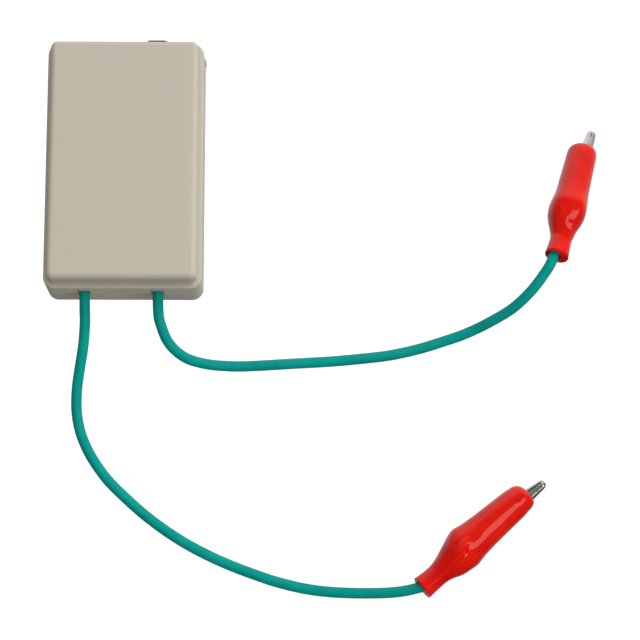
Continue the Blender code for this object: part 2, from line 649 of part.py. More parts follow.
def build_base():
    """Builds the lower shell: an open tray with bosses, lead notches and a socket window."""
    hx, hy = CASE_WIDTH / 2, CASE_LENGTH / 2
    rim = PARTING_HEIGHT - PARTING_GAP / 2
    outer = block_mesh((-hx, -hy, 0.0), (hx, hy, rim), CASE_CORNER, FOOT_EDGE, 0.0, 8)
    base = add_part("base_shell", outer, ABS)
    ix, iy = hx - WALL, hy - WALL
    inside = block_mesh((-ix, -iy, FLOOR), (ix, iy, CASE_HEIGHT), CASE_CORNER - WALL)
    boolean(base, add_cutter("base_inside", inside), "DIFFERENCE")
    bore = CASE_SCREW_HEAD + SEAT
    bosses = [round_mesh(bore + BOSS_WALL, FLOOR / 2, BOSS_TOP, at, 20) for at in post_places()]
    bottom = BOARD_TOP - BOARD_THICK - SEAT
    bosses += [round_mesh(STANDOFF_RADIUS, FLOOR / 2, bottom, standoff_at(sx, sy), 16)
               for sx in (-1, 1) for sy in (-1, 1)]
    boolean(base, add_cutter("base_bosses", merge_meshes(bosses, "bosses")), "UNION")
    lug_y = hy - LUG_FROM_END
    lug = round_mesh(LUG_RADIUS, LUG_BOTTOM, LUG_TOP, (hx + LUG_PROUD - LUG_RADIUS, lug_y), 16, 0.4 * MM)
    boolean(base, add_cutter("base_lug", lug), "UNION")
    cuts = [round_mesh(bore, -MM, COUNTERBORE_DEPTH, at, 20) for at in post_places()]
    boolean(base, add_cutter("base_counterbores", merge_meshes(cuts, "counterbores")), "DIFFERENCE")
    holes = [round_mesh(CASE_SCREW_SHANK + SEAT, MM, BOSS_TOP + MM, at, 16) for at in post_places()]
    holes += [round_mesh(BOARD_SCREW_SHANK + SEAT, FLOOR + MM, bottom + MM, standoff_at(s, s), 12)
              for s in (-1, 1)]
    boolean(base, add_cutter("base_holes", merge_meshes(holes, "holes")), "DIFFERENCE")
    radius = SLOT_WIDTH / 2
    for name, x in (("a", SLOT_A_X), ("b", SLOT_B_X)):
        mouth = [(x + radius, CASE_HEIGHT), (x - radius, CASE_HEIGHT)]
        mouth += [(x - radius * math.cos(t), SLOT_BOTTOM + radius - radius * math.sin(t))
                  for t in (math.pi * k / 12 for k in range(13))]
        cutter = prism_mesh(mouth, -hy - MM, -hy + WALL + MM)
        boolean(base, add_cutter(f"base_notch_{name}", cutter), "DIFFERENCE")
    half = WINDOW_WIDTH / 2
    corners = [(SOCKET_X - half, WINDOW_BOTTOM), (SOCKET_X + half, WINDOW_BOTTOM),
               (SOCKET_X + half, WINDOW_TOP), (SOCKET_X - half, WINDOW_TOP)]
    window = prism_mesh(rounded_outline(corners, 0.8 * MM), hy - WALL - MM, hy + MM)
    boolean(base, add_cutter("base_window", window), "DIFFERENCE")


def build_lid():
    """Builds the upper shell: ledge, raised top, inner tongue and four screw posts."""
    hx, hy = CASE_WIDTH / 2, CASE_LENGTH / 2
    rim = PARTING_HEIGHT + PARTING_GAP / 2
    tongue = TONGUE_DEPTH
    ledge = block_mesh((-hx, -hy, rim), (hx, hy, LEDGE_TOP), CASE_CORNER, 0.0, LEDGE_EDGE, 8)
    lid = add_part("lid_shell", ledge, ABS)
    tx, ty = hx - LEDGE_WIDTH, hy - LEDGE_WIDTH
    raised = block_mesh((-tx, -ty, rim + 0.4 * MM), (tx, ty, CASE_HEIGHT), CASE_CORNER - LEDGE_WIDTH, 0.0,
                        LID_EDGE, 8, 4)
    boolean(lid, add_cutter("lid_raised", raised), "UNION")
    nx, ny = hx - WALL - SEAT, hy - WALL - SEAT
    skirt = block_mesh((-nx, -ny, rim - tongue), (nx, ny, rim + 0.5 * MM), CASE_CORNER - WALL - SEAT)
    boolean(lid, add_cutter("lid_skirt", skirt), "UNION")
    cx, cy = nx - TONGUE_WALL, ny - TONGUE_WALL
    inside = block_mesh((-cx, -cy, rim - tongue - MM), (cx, cy, CASE_HEIGHT - LID_TOP),
                        CASE_CORNER - WALL - SEAT - TONGUE_WALL + 0.4 * MM)
    boolean(lid, add_cutter("lid_inside", inside), "DIFFERENCE")
    posts = [round_mesh(POST_RADIUS, BOSS_TOP + SEAT, CASE_HEIGHT - LID_TOP + 0.5 * MM, at, 20)
             for at in post_places()]
    boolean(lid, add_cutter("lid_posts", merge_meshes(posts, "posts")), "UNION")
    holes = [round_mesh(CASE_SCREW_SHANK + SEAT, BOSS_TOP, POST_HOLE_TOP, at, 16) for at in post_places()]
    boolean(lid, add_cutter("lid_holes", merge_meshes(holes, "holes")), "DIFFERENCE")


def screw(name, at, shank, head, seat_z, head_z, tip_z):
    """Builds a cross-head screw whose head lies between head_z and seat_z."""
    low, high = min(seat_z, head_z), max(seat_z, head_z)
    obj = add_part(name, round_mesh(head, low, high, at, 16, 0.3 * MM), STEEL)
    lap = (seat_z + head_z) / 2
    stem = round_mesh(shank, min(lap, tip_z), max(lap, tip_z), at, 12)
    boolean(obj, add_cutter(f"{name}_stem", stem), "UNION")
    arm, blade = head * 0.6, head * 0.13
    deep = head_z + (seat_z - head_z) * 0.5
    out = head_z - (seat_z - head_z) * 0.5
    bars = [block_mesh((at[0] - x, at[1] - y, min(deep, out)), (at[0] + x, at[1] + y, max(deep, out)))
            for x, y in ((arm, blade), (blade, arm))]
    for index, bar in enumerate(bars):
        boolean(obj, add_cutter(f"{name}_slot_{index}", bar), "DIFFERENCE")


def build_fixings():
    """Builds the four case screws and the two board screws."""
    seat = COUNTERBORE_DEPTH - SEAT
    for index, at in enumerate(post_places(), 1):
        screw(f"case_screw_{index}", at, CASE_SCREW_SHANK, CASE_SCREW_HEAD, seat,
              seat - CASE_SCREW_HEAD_HEIGHT, CASE_SCREW_TOP)
    seat = BOARD_TOP + SEAT
    for index, s in enumerate((-1, 1), 1):
        screw(f"board_screw_{index}", standoff_at(s, s), BOARD_SCREW_SHANK, BOARD_SCREW_HEAD,
              seat, seat + BOARD_SCREW_HEAD_HEIGHT, FLOOR + 1.5 * MM)


def build_board():
    """Builds the circuit board with its notches for the posts and its screw holes."""
    hx, hy = board_half()
    low = BOARD_TOP - BOARD_THICK
    board = add_part("circuit_board", block_mesh((-hx, -hy, low), (hx, hy, BOARD_TOP), MM, steps=2), BOARD)
    cuts = [round_mesh(POST_RADIUS + SEAT, low - MM, BOARD_TOP + MM, at, 24) for at in post_places()]
    cuts += [round_mesh(BOARD_SCREW_SHANK + SEAT, low - MM, BOARD_TOP + MM, standoff_at(s, s), 14)
             for s in (-1, 1)]
    boolean(board, add_cutter("board_cuts", merge_meshes(cuts, "cuts")), "DIFFERENCE")


def chip(name, at, size, legs, pitch, edge, seat):
    """Builds a moulded chip body with a row of legs down each long side."""
    x, y = at
    sx, sy, sz = size
    body = block_mesh((x - sx / 2, y - sy / 2, seat + 0.15 * MM), (x + sx / 2, y + sy / 2, seat + sz),
                      0.0, 0.0, edge, 1, 1)
    obj = add_part(name, body, CHIP)
    reach = 0.9 * MM
    feet = []
    for k in range(legs):
        ly = y + (k - (legs - 1) / 2) * pitch
        for s in (-1, 1):
            x0, x1 = sorted((x + s * (sx / 2 - 0.2 * MM), x + s * (sx / 2 + reach)))
            half = pitch * 0.2
            feet.append(block_mesh((x0, ly - half, seat + 0.2 * MM), (x1, ly + half, seat + 0.4 * MM)))
    boolean(obj, add_cutter(f"{name}_legs", merge_meshes(feet, "legs")), "UNION")


def build_components():
    """Builds the pieces soldered to the board, placed from its edges and the socket."""
    hx, hy = board_half()
    seat = BOARD_TOP + SEAT - 0.15 * MM
    edge = 0.2 * MM
    chip("controller_chip", (0.0, hy - 27.0 * MM), (7.0 * MM, 9.0 * MM, 1.6 * MM), 8, 1.0 * MM, edge, seat)
    chip("amplifier_chip", (-6.0 * MM, 27.0 * MM - hy), (3.9 * MM, 4.9 * MM, 1.6 * MM), 4, 1.27 * MM, edge, seat)
    chip("voltage_regulator", (hx - 11.0 * MM, hy - 20.0 * MM), (3.5 * MM, 6.5 * MM, 1.7 * MM), 3, 2.3 * MM, edge,
         seat)
    floor = BOARD_TOP + SEAT
    cx, cy = 6.0 * MM - hx, hy - 24.0 * MM
    crystal = block_mesh((cx, cy, floor), (cx + 4.6 * MM, cy + 11.0 * MM, floor + 3.5 * MM), 2.2 * MM, 0.0,
                         0.5 * MM, 6, 2)
    add_part("crystal_can", crystal, STEEL)
    resistor = block_mesh((-3.2 * MM, 10.4 * MM - hy, floor), (3.2 * MM, 13.6 * MM - hy, floor + 0.8 * MM),
                          0.2 * MM, 0.0, 0.15 * MM, 1, 1)
    add_part("sense_resistor", resistor, CERAMIC)
    fx, fy = SOCKET_X - 2.3 * MM, hy - 11.6 * MM
    fuse = block_mesh((fx, fy, floor), (fx + 4.6 * MM, fy + 3.2 * MM, floor + 1.6 * MM), edge, 0.0, edge, 1, 1)
    add_part("input_fuse", fuse, CERAMIC)
    cx, cy = 9.0 * MM - hx, hy - 6.0 * MM
    can = add_part("filter_capacitor", round_mesh(2.5 * MM, floor + 0.8 * MM, floor + 5.4 * MM, (cx, cy), 24,
                                                  0.3 * MM), STEEL)
    side = 2.6 * MM
    foot = block_mesh((cx - side, cy - side, floor), (cx + side, cy + side, floor + 1.0 * MM), 0.9 * MM,
                      steps=2)
    boolean(can, add_cutter("filter_capacitor_foot", foot), "UNION")


def build_socket():
    """Builds the socket: folded metal shell, insulator and five contacts."""
    low = BOARD_TOP + SEAT
    mouth = CASE_LENGTH / 2 + SOCKET_PROUD
    back = mouth - SOCKET_LENGTH
    wide, narrow, tall = SOCKET_WIDTH / 2, SOCKET_TOP_WIDTH / 2, SOCKET_HEIGHT
    corners = [(-wide, 0.0), (wide, 0.0), (wide, tall * 0.52), (narrow, tall), (-narrow, tall),
               (-wide, tall * 0.52)]
    outline = [(SOCKET_X + x, low + z) for x, z in rounded_outline(corners, 0.7 * MM)]
    shell = add_part("usb_socket_shell", prism_mesh(outline, back, mouth), NICKEL)
    skin = SOCKET_SKIN
    inner = [(-wide + skin, skin), (wide - skin, skin), (wide - skin, tall * 0.52 - skin * 0.4),
             (narrow - skin * 0.6, tall - skin), (-narrow + skin * 0.6, tall - skin),
             (-wide + skin, tall * 0.52 - skin * 0.4)]
    hollow = [(SOCKET_X + x, low + z) for x, z in rounded_outline(inner, 0.4 * MM)]
    boolean(shell, add_cutter("socket_hollow", prism_mesh(hollow, back - MM, mouth + MM)), "DIFFERENCE")
    slots = [block_mesh((SOCKET_X + x0, mouth - 3.6 * MM, low + tall / 2),
                        (SOCKET_X + x1, mouth - 0.7 * MM, low + tall + MM))
             for x0, x1 in ((-1.6 * MM, -0.6 * MM), (0.95 * MM, 1.9 * MM))]
    boolean(shell, add_cutter("socket_slots", merge_meshes(slots, "slots")), "DIFFERENCE")
    build_insert(low, mouth, back)


def build_insert(low, mouth, back):
    """Builds the insulator with its tongue, and the contacts under it."""
    sole = low + SOCKET_SKIN + 1.1 * MM
    half = SOCKET_WIDTH / 2 - SOCKET_SKIN - 0.3 * MM
    top = low + SOCKET_HEIGHT - SOCKET_SKIN - 0.3 * MM
    narrow = SOCKET_TOP_WIDTH / 2 - SOCKET_SKIN
    corners = [(-half, sole), (half, sole), (half, sole + 0.3 * MM), (narrow, top), (-narrow, top),
               (-half, sole + 0.3 * MM)]
    heel = prism_mesh([(SOCKET_X + x, z) for x, z in corners], back + 0.2 * MM, back + 2.6 * MM)
    insert = add_part("usb_socket_insert", heel, CHIP)
    reach = CONTACT_PITCH * 2 + 0.45 * MM
    tongue = block_mesh((SOCKET_X - reach, back + 2.0 * MM, sole + 0.04 * MM),
                        (SOCKET_X + reach, mouth - 1.5 * MM, sole + 0.8 * MM))
    boolean(insert, add_cutter("insert_tongue", tongue), "UNION")
    for k in range(5):
        x = SOCKET_X + (k - 2) * CONTACT_PITCH
        z = sole - 0.3 * MM
        blade = block_mesh((x - CONTACT_WIDTH / 2, back - 1.2 * MM, z - CONTACT_THICK),
                           (x + CONTACT_WIDTH / 2, mouth - 1.8 * MM, z))
        contact = add_part(f"usb_contact_{k + 1}", blade, GOLD)
        foot = block_mesh((x - CONTACT_WIDTH / 2, back - 1.4 * MM, low),
                          (x + CONTACT_WIDTH / 2, back - 1.0 * MM, z - 0.05 * MM))
        boolean(contact, add_cutter(f"usb_contact_{k + 1}_foot", foot), "UNION")


def build_lead(name, x, start, route, clip, tail):
    """Builds one insulated lead from the board to its clip, its stop and its bared core."""
    inner = (-33.4 * MM, -36.4 * MM, -38.9 * MM, -41.6 * MM)
    levels = (11.9 * MM, 11.5 * MM, LEAD_IN_CASE, LEAD_IN_CASE)
    points = [Vector((x, y, z)) for y, z in zip(inner, levels)]
    points += [Vector(p) * MM + Vector((x, 0.0, 0.0)) for p in start]
    points += [Vector(p) * MM for p in route]
    for back, off in tail:
        u = clip.boot[1] + back
        points.append(clip.at(u, *clip.middle(u, off)))
    points.append(clip.at(LEAD_END_U))
    add_part(name, curve_mesh(smooth_path(points, LEAD_STEP), LEAD_RADIUS, 2), TEAL, None, True)
    wall = -CASE_LENGTH / 2 + WALL + SEAT
    at = (x, LEAD_IN_CASE + 0.12 * MM)
    ring = round_mesh(STOP_RADIUS, wall, wall + STOP_LENGTH, at, 18, 0.0, "Y")
    stop = add_part(f"{name}_stop", ring, NYLON, None, True)
    hole = round_mesh(LEAD_RADIUS + SEAT, wall - MM, wall + STOP_LENGTH + MM, at, 18, 0.0, "Y")
    boolean(stop, add_cutter(f"{name}_stop_hole", hole), "DIFFERENCE")
    pad = BOARD_TOP + SEAT
    bend = [(inner[0] + 0.3 * MM, levels[0]), (-31.0 * MM, levels[0]), (CORE_PAD_Y - 0.4 * MM, 11.3 * MM),
            (CORE_PAD_Y, 10.4 * MM), (CORE_PAD_Y, pad)]
    core = curve_mesh(smooth_path([(x, y, z) for y, z in bend], 0.8 * MM), LEAD_CORE, 1)
    add_part(f"{name}_core", core, COPPER, None, True)


def main():
    """Builds the whole part."""
    clear_scene()
    build_base()
    build_lid()
    build_fixings()
    build_board()
    build_components()
    build_socket()
    clip_a = Clip("clip_a", CLIP_A_NOSE, CLIP_A_HEADING, CLIP_A_LIFT, CLIP_A_ROLL, CLIP_A_BOOT,
                  BOOT_A_DRIFT, BOOT_A_SIDE)
    clip_b = Clip("clip_b", CLIP_B_NOSE, CLIP_B_HEADING, CLIP_B_LIFT, CLIP_B_ROLL, CLIP_B_BOOT,
                  BOOT_B_DRIFT, BOOT_B_SIDE)
    for clip in (clip_a, clip_b):
        clip.build()
    build_lead("lead_a", SLOT_A_X, LEAD_A_START, LEAD_A_ROUTE, clip_a, LEAD_A_TAIL)
    build_lead("lead_b", SLOT_B_X, LEAD_B_START, LEAD_B_ROUTE, clip_b, LEAD_B_TAIL)
    return clip_a, clip_b


main()
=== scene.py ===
"""Looks of a bench tester with a mini USB socket and two clip leads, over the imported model.

Everything is in metres in the frame of the part: origin under the middle of the case, +Y towards the
wall with the socket, +Z up. Each sub-assembly is a class that holds its sizes and builds and dresses
its own meshes; each finish is a small class that makes one procedural material.
"""

import json
import logging
import math
from dataclasses import dataclass, field
from enum import Enum

import bmesh
import bpy
from mathutils import Matrix, Vector


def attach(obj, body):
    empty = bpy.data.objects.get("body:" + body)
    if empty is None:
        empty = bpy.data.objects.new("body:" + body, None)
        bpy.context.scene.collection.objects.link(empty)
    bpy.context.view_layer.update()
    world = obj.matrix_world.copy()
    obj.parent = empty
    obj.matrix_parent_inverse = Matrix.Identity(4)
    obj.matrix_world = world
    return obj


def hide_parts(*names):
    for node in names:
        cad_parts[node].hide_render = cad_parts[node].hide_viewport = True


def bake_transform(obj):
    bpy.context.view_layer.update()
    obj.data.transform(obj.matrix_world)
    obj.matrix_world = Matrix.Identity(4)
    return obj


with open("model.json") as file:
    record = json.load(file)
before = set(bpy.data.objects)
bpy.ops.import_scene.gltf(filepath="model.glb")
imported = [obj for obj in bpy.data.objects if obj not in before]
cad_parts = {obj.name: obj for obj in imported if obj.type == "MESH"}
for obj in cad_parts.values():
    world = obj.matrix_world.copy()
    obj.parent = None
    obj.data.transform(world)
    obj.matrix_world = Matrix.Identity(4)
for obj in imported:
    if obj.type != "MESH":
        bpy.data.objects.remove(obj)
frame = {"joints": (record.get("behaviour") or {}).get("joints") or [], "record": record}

MM = 0.001
LOG = logging.getLogger("tester")

Span = tuple[float, float]
Point = tuple[float, float, float]
Ends = tuple[Point, Point]
Knots = tuple[Span, ...]


class Carve(Enum):
    """What a mesh does to the one that it meets."""

    ADD = "UNION"
    CUT = "DIFFERENCE"


class Body(Enum):
    """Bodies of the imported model."""

    TESTER = "tester"
    JAW_A = "clip_a_jaw"
    JAW_B = "clip_b_jaw"


class Slot(Enum):
    """Material slots of the record."""

    CASE = "case_plastic"
    SCREW = "screw_steel"
    BOARD = "board"
    CHIP = "chip"
    CERAMIC = "ceramic"
    CAN = "can"
    NICKEL = "nickel"
    CONTACT = "contact"
    SPRING = "spring_steel"
    COPPER = "copper"
    LEAD = "lead_pvc"
    BOOT = "boot_pvc"
    STOP = "stop"


Step = tuple[Carve, bpy.types.Mesh]


def ramp(x: float, knots: Knots) -> float:
    """Reads a line through knots.

    Args:
        x: Where to read.
        knots: Pairs of place and value, in order.

    Returns:
        The value at x, held flat beyond both ends.
    """
    if x <= knots[0][0]:
        return knots[0][1]
    for (x0, y0), (x1, y1) in zip(knots, knots[1:]):
        if x <= x1:
            return y0 + (y1 - y0) * (x - x0) / (x1 - x0)
    return knots[-1][1]


def soft_ramp(x: float, knots: Knots, blur: float) -> float:
    """Reads a line through knots with its corners rounded.

    Args:
        x: Where to read.
        knots: Pairs of place and value, in order.
        blur: Half the width that each corner is rounded over.

    Returns:
        The mean of the line over the blur.
    """
    taps = 7
    return sum(ramp(x + blur * (2 * k / (taps - 1) - 1), knots) for k in range(taps)) / taps


def bulge(turn: float, square: float) -> float:
    """Returns the radius at an angle of a round outline, squarer the further its power is over 2."""
    return (abs(math.cos(turn)) ** square + abs(math.sin(turn)) ** square) ** (-1 / square)


def hoop(centre: Vector, one: Vector, two: Vector, radius: float, sides: int) -> list[Point]:
    """Builds a round section.

    Args:
        centre: Its centre.
        one: Direction to its first point.
        two: Direction to the point a quarter turn on.
        radius: Its radius.
        sides: How many points it has.

    Returns:
        Its points.
    """
    turns = [2 * math.pi * k / sides for k in range(sides)]
    return [tuple(centre + (one * math.cos(a) + two * math.sin(a)) * radius) for a in turns]


class Shape:
    """Mesh building with bmesh operators."""

    @staticmethod
    def close(bm: bmesh.types.BMesh, name: str) -> bpy.types.Mesh:
        """Welds a bmesh, turns its faces out and returns it as a mesh.

        Args:
            bm: The bmesh, which is freed.
            name: Name of the mesh.

        Returns:
            The mesh.
        """
        bmesh.ops.remove_doubles(bm, verts=bm.verts, dist=1e-7)
        bmesh.ops.recalc_face_normals(bm, faces=bm.faces)
        mesh = bpy.data.meshes.new(name)
        bm.to_mesh(mesh)
        bm.free()
        return mesh

    @staticmethod
    def round_off(bm: bmesh.types.BMesh, edges: list[bmesh.types.BMEdge], radius: float,
                  segments: int) -> None:
        """Rounds edges."""
        bmesh.ops.bevel(bm, geom=edges, offset=radius, segments=segments, profile=0.5, affect="EDGES",
                        material=-1)

    @staticmethod
    def block(low: Point, high: Point, corner: float = 0.0, foot: float = 0.0, rim: float = 0.0,
              steps: int = 16, edge_steps: int = 6) -> bpy.types.Mesh:
        """Builds a box with rounded upright edges, foot and rim.

        Args:
            low: Lowest corner.
            high: Highest corner.
            corner: Radius of the upright edges.
            foot: Radius of the bottom edge.
            rim: Radius of the top edge.
            steps: Segments of the upright edges.
            edge_steps: Segments of the other two.

        Returns:
            The mesh.
        """
        bm = bmesh.new()
        size = Vector(high) - Vector(low)
        centre = (Vector(high) + Vector(low)) / 2
        place = Matrix.Translation(centre) @ Matrix.Diagonal((*size, 1.0))
        bmesh.ops.create_cube(bm, size=1.0, matrix=place)
        if corner > 0:
            upright = [e for e in bm.edges if abs(e.verts[0].co.z - e.verts[1].co.z) > size.z / 2]
            Shape.round_off(bm, upright, corner, steps)
        for radius, level in ((foot, low[2]), (rim, high[2])):
            if radius > 0:
                edges = [e for e in bm.edges if all(abs(v.co.z - level) < 1e-6 for v in e.verts)]
                Shape.round_off(bm, edges, radius, edge_steps)
        return Shape.close(bm, "block")

    @staticmethod
    def drum(radius: float, low: float, high: float, at: Span, steps: int = 40,
             edge: float = 0.0) -> bpy.types.Mesh:
        """Builds an upright cylinder.

        Args:
            radius: Its radius.
            low: Height of its foot.
            high: Height of its top.
            at: Its place in plan.
            steps: Segments round it.
            edge: Rounding of both rims.

        Returns:
            The mesh.
        """
        bm = bmesh.new()
        bmesh.ops.create_cone(bm, cap_ends=True, cap_tris=False, segments=steps, radius1=radius,
                              radius2=radius, depth=high - low,
                              matrix=Matrix.Translation((*at, (low + high) / 2)))
        if edge > 0:
            edges = [e for e in bm.edges if any(len(f.verts) == steps for f in e.link_faces)]
            Shape.round_off(bm, edges, edge, 3)
        return Shape.close(bm, "drum")

    @staticmethod
    def prism(outline: list[Span], low: float, high: float) -> bpy.types.Mesh:
        """Draws an outline in X and Z out along Y.

        Args:
            outline: Points of the outline, in order.
            low: First Y.
            high: Last Y.

        Returns:
            The mesh.
        """
        bm = bmesh.new()
        face = bm.faces.new([bm.verts.new((x, low, z)) for x, z in outline])
        drawn = bmesh.ops.extrude_face_region(bm, geom=[face], use_keep_orig=True)
        bmesh.ops.translate(bm, verts=[v for v in drawn["geom"] if isinstance(v, bmesh.types.BMVert)],
                            vec=(0.0, high - low, 0.0))
        return Shape.close(bm, "prism")

    @staticmethod
    def skin(rings: list[list[Point]], ring_closed: bool = False) -> bpy.types.Mesh:
        """Bridges a run of sections.

        Args:
            rings: Sections with the same number of points.
            ring_closed: Whether the last section joins the first, instead of both being capped.

        Returns:
            The mesh.
        """
        bm = bmesh.new()
        loops = []
        for ring in rings:
            verts = [bm.verts.new(co) for co in ring]
            loops.append([bm.edges.new((verts[i - 1], verts[i])) for i in range(len(verts))])
        pairs = list(zip(loops, loops[1:]))
        if ring_closed:
            pairs.append((loops[-1], loops[0]))
        for one, two in pairs:
            bmesh.ops.bridge_loops(bm, edges=one + two)
        if not ring_closed:
            for loop in (loops[0], loops[-1]):
                bmesh.ops.contextual_create(bm, geom=loop)
        return Shape.close(bm, "skin")

    @staticmethod
    def join(meshes: list[bpy.types.Mesh], name: str) -> bpy.types.Mesh:
        """Puts several separate meshes into one.

        Args:
            meshes: The meshes, which are used up.
            name: Name of the mesh.

        Returns:
            The mesh.
        """
        bm = bmesh.new()
        for mesh in meshes:
            bm.from_mesh(mesh)
            bpy.data.meshes.remove(mesh)
        return Shape.close(bm, name)

    @staticmethod
    def carve(base: bpy.types.Mesh, steps: list[Step], edge: float = 0.0) -> bpy.types.Mesh:
        """Adds and cuts meshes from a base, in order, then rounds what sharp edges are left.

        Args:
            base: The mesh to start from.
            steps: What to do with each mesh, in order. The meshes are used up.
            edge: Radius for the edges sharper than 40 degrees, or 0 to leave them.

        Returns:
            The finished mesh.
        """
        holder = bpy.data.objects.new("carve", base)
        bpy.context.scene.collection.objects.link(holder)
        tools = []
        for operation, mesh in steps:
            tool = bpy.data.objects.new("tool", mesh)
            bpy.context.scene.collection.objects.link(tool)
            tools.append(tool)
            mod = holder.modifiers.new("carve", "BOOLEAN")
            mod.operation = operation.value
            mod.solver = "EXACT"
            mod.object = tool
        if edge > 0:
            mod = holder.modifiers.new("edge", "BEVEL")
            mod.width = edge
            mod.segments = 2
            mod.limit_method = "ANGLE"
            mod.angle_limit = math.radians(40.0)
        graph = bpy.context.evaluated_depsgraph_get()
        mesh = bpy.data.meshes.new_from_object(holder.evaluated_get(graph))
        for obj in (holder, *tools):
            data = obj.data
            bpy.data.objects.remove(obj, do_unlink=True)
            bpy.data.meshes.remove(data)
        return mesh

    @staticmethod
    def shade(mesh: bpy.types.Mesh, degrees: float = 34.0) -> None:
        """Shades a mesh smooth, apart from edges sharper than an angle.

        Args:
            mesh: The mesh.
            degrees: Angle from which an edge stays sharp.
        """
        bm = bmesh.new()
        bm.from_mesh(mesh)
        for face in bm.faces:
            face.smooth = True
        for edge in bm.edges:
            edge.smooth = len(edge.link_faces) == 2 and edge.calc_face_angle(0.0) < math.radians(degrees)
        bm.to_mesh(mesh)
        bm.free()


class Nodes:
    """Short hands for building a node tree."""

    def __init__(self, name: str) -> None:
        """Starts a material with its Principled shader.

        Args:
            name: Name of the material.
        """
        self.material = bpy.data.materials.new(name)
        self.material.use_nodes = True
        self.tree = self.material.node_tree
        self.shader = self.tree.nodes["Principled BSDF"]
        self.coords = self.tree.nodes.new("ShaderNodeTexCoord").outputs["Object"]

    def link(self, source: bpy.types.NodeSocket, target: bpy.types.NodeSocket) -> None:
        """Joins two sockets."""
        self.tree.links.new(source, target)

    def noise(self, scale: float, detail: float = 3.0, rough: float = 0.55,
              stretch: Point = (1.0, 1.0, 1.0)) -> bpy.types.NodeSocket:
        """Adds a noise pattern.

        Args:
            scale: Its scale per metre.
            detail: Its detail.
            rough: Its roughness.
            stretch: Factor along each axis.

        Returns:
            Its factor.
        """
        node = self.tree.nodes.new("ShaderNodeTexNoise")
        node.inputs["Scale"].default_value = scale
        node.inputs["Detail"].default_value = detail
        node.inputs["Roughness"].default_value = rough
        mapping = self.tree.nodes.new("ShaderNodeMapping")
        mapping.inputs["Scale"].default_value = stretch
        self.link(self.coords, mapping.inputs["Vector"])
        self.link(mapping.outputs["Vector"], node.inputs["Vector"])
        return node.outputs["Fac"]

    def specks(self, scale: float, size: float, share: float) -> bpy.types.NodeSocket:
        """Adds sparse round specks.

        Args:
            scale: Cells per metre.
            size: Radius of a speck as a share of a cell.
            share: Share of the cells that have one.

        Returns:
            1 on a speck and 0 off it.
        """
        cells = self.tree.nodes.new("ShaderNodeTexVoronoi")
        cells.inputs["Scale"].default_value = scale
        self.link(self.coords, cells.inputs["Vector"])
        near = self.span(cells.outputs["Distance"], size, size / 2)
        hue = self.tree.nodes.new("ShaderNodeSeparateColor")
        self.link(cells.outputs["Color"], hue.inputs["Color"])
        rare = self.span(hue.outputs["Red"], share, share * 0.9)
        product = self.tree.nodes.new("ShaderNodeMath")
        product.operation = "MULTIPLY"
        self.link(near, product.inputs[0])
        self.link(rare, product.inputs[1])
        return product.outputs[0]

    def span(self, source: bpy.types.NodeSocket, low: float, high: float, to_low: float = 0.0,
             to_high: float = 1.0) -> bpy.types.NodeSocket:
        """Maps a value from one range to another and clamps it.

        Args:
            source: The value.
            low: Where the first range starts.
            high: Where it ends.
            to_low: What its start becomes.
            to_high: What its end becomes.

        Returns:
            The mapped value.
        """
        node = self.tree.nodes.new("ShaderNodeMapRange")
        node.inputs["From Min"].default_value = low
        node.inputs["From Max"].default_value = high
        node.inputs["To Min"].default_value = to_low
        node.inputs["To Max"].default_value = to_high
        self.link(source, node.inputs["Value"])
        return node.outputs["Result"]

    def blend(self, factor: bpy.types.NodeSocket, one: tuple | bpy.types.NodeSocket,
              two: tuple) -> bpy.types.NodeSocket:
        """Mixes two colours.

        Args:
            factor: How much of the second.
            one: First colour, or a socket that gives it.
            two: Second colour.

        Returns:
            The mix.
        """
        node = self.tree.nodes.new("ShaderNodeMix")
        node.data_type = "RGBA"
        self.link(factor, node.inputs["Factor"])
        if isinstance(one, tuple):
            node.inputs["A"].default_value = (*one, 1.0)
        else:
            self.link(one, node.inputs["A"])
        node.inputs["B"].default_value = (*two, 1.0)
        return node.outputs["Result"]

    def bump(self, height: bpy.types.NodeSocket, distance: float, strength: float = 1.0,
             under: bpy.types.NodeSocket | None = None) -> bpy.types.NodeSocket:
        """Adds a bump.

        Args:
            height: Its height, from 0 to 1.
            distance: What 1 stands for, in metres.
            strength: Its strength.
            under: Another bump below it.

        Returns:
            The bent normal.
        """
        node = self.tree.nodes.new("ShaderNodeBump")
        node.inputs["Distance"].default_value = distance
        node.inputs["Strength"].default_value = strength
        self.link(height, node.inputs["Height"])
        if under is not None:
            self.link(under, node.inputs["Normal"])
        return node.outputs["Normal"]

    def put(self, socket: str, value: float | tuple | bpy.types.NodeSocket) -> None:
        """Sets or links one input of the shader.

        Args:
            socket: Name of the input.
            value: Its value, or the socket that gives it.
        """
        target = self.shader.inputs[socket]
        if isinstance(value, bpy.types.NodeSocket):
            self.link(value, target)
        else:
            target.default_value = (*value, 1.0) if isinstance(value, tuple) and len(value) == 3 else value


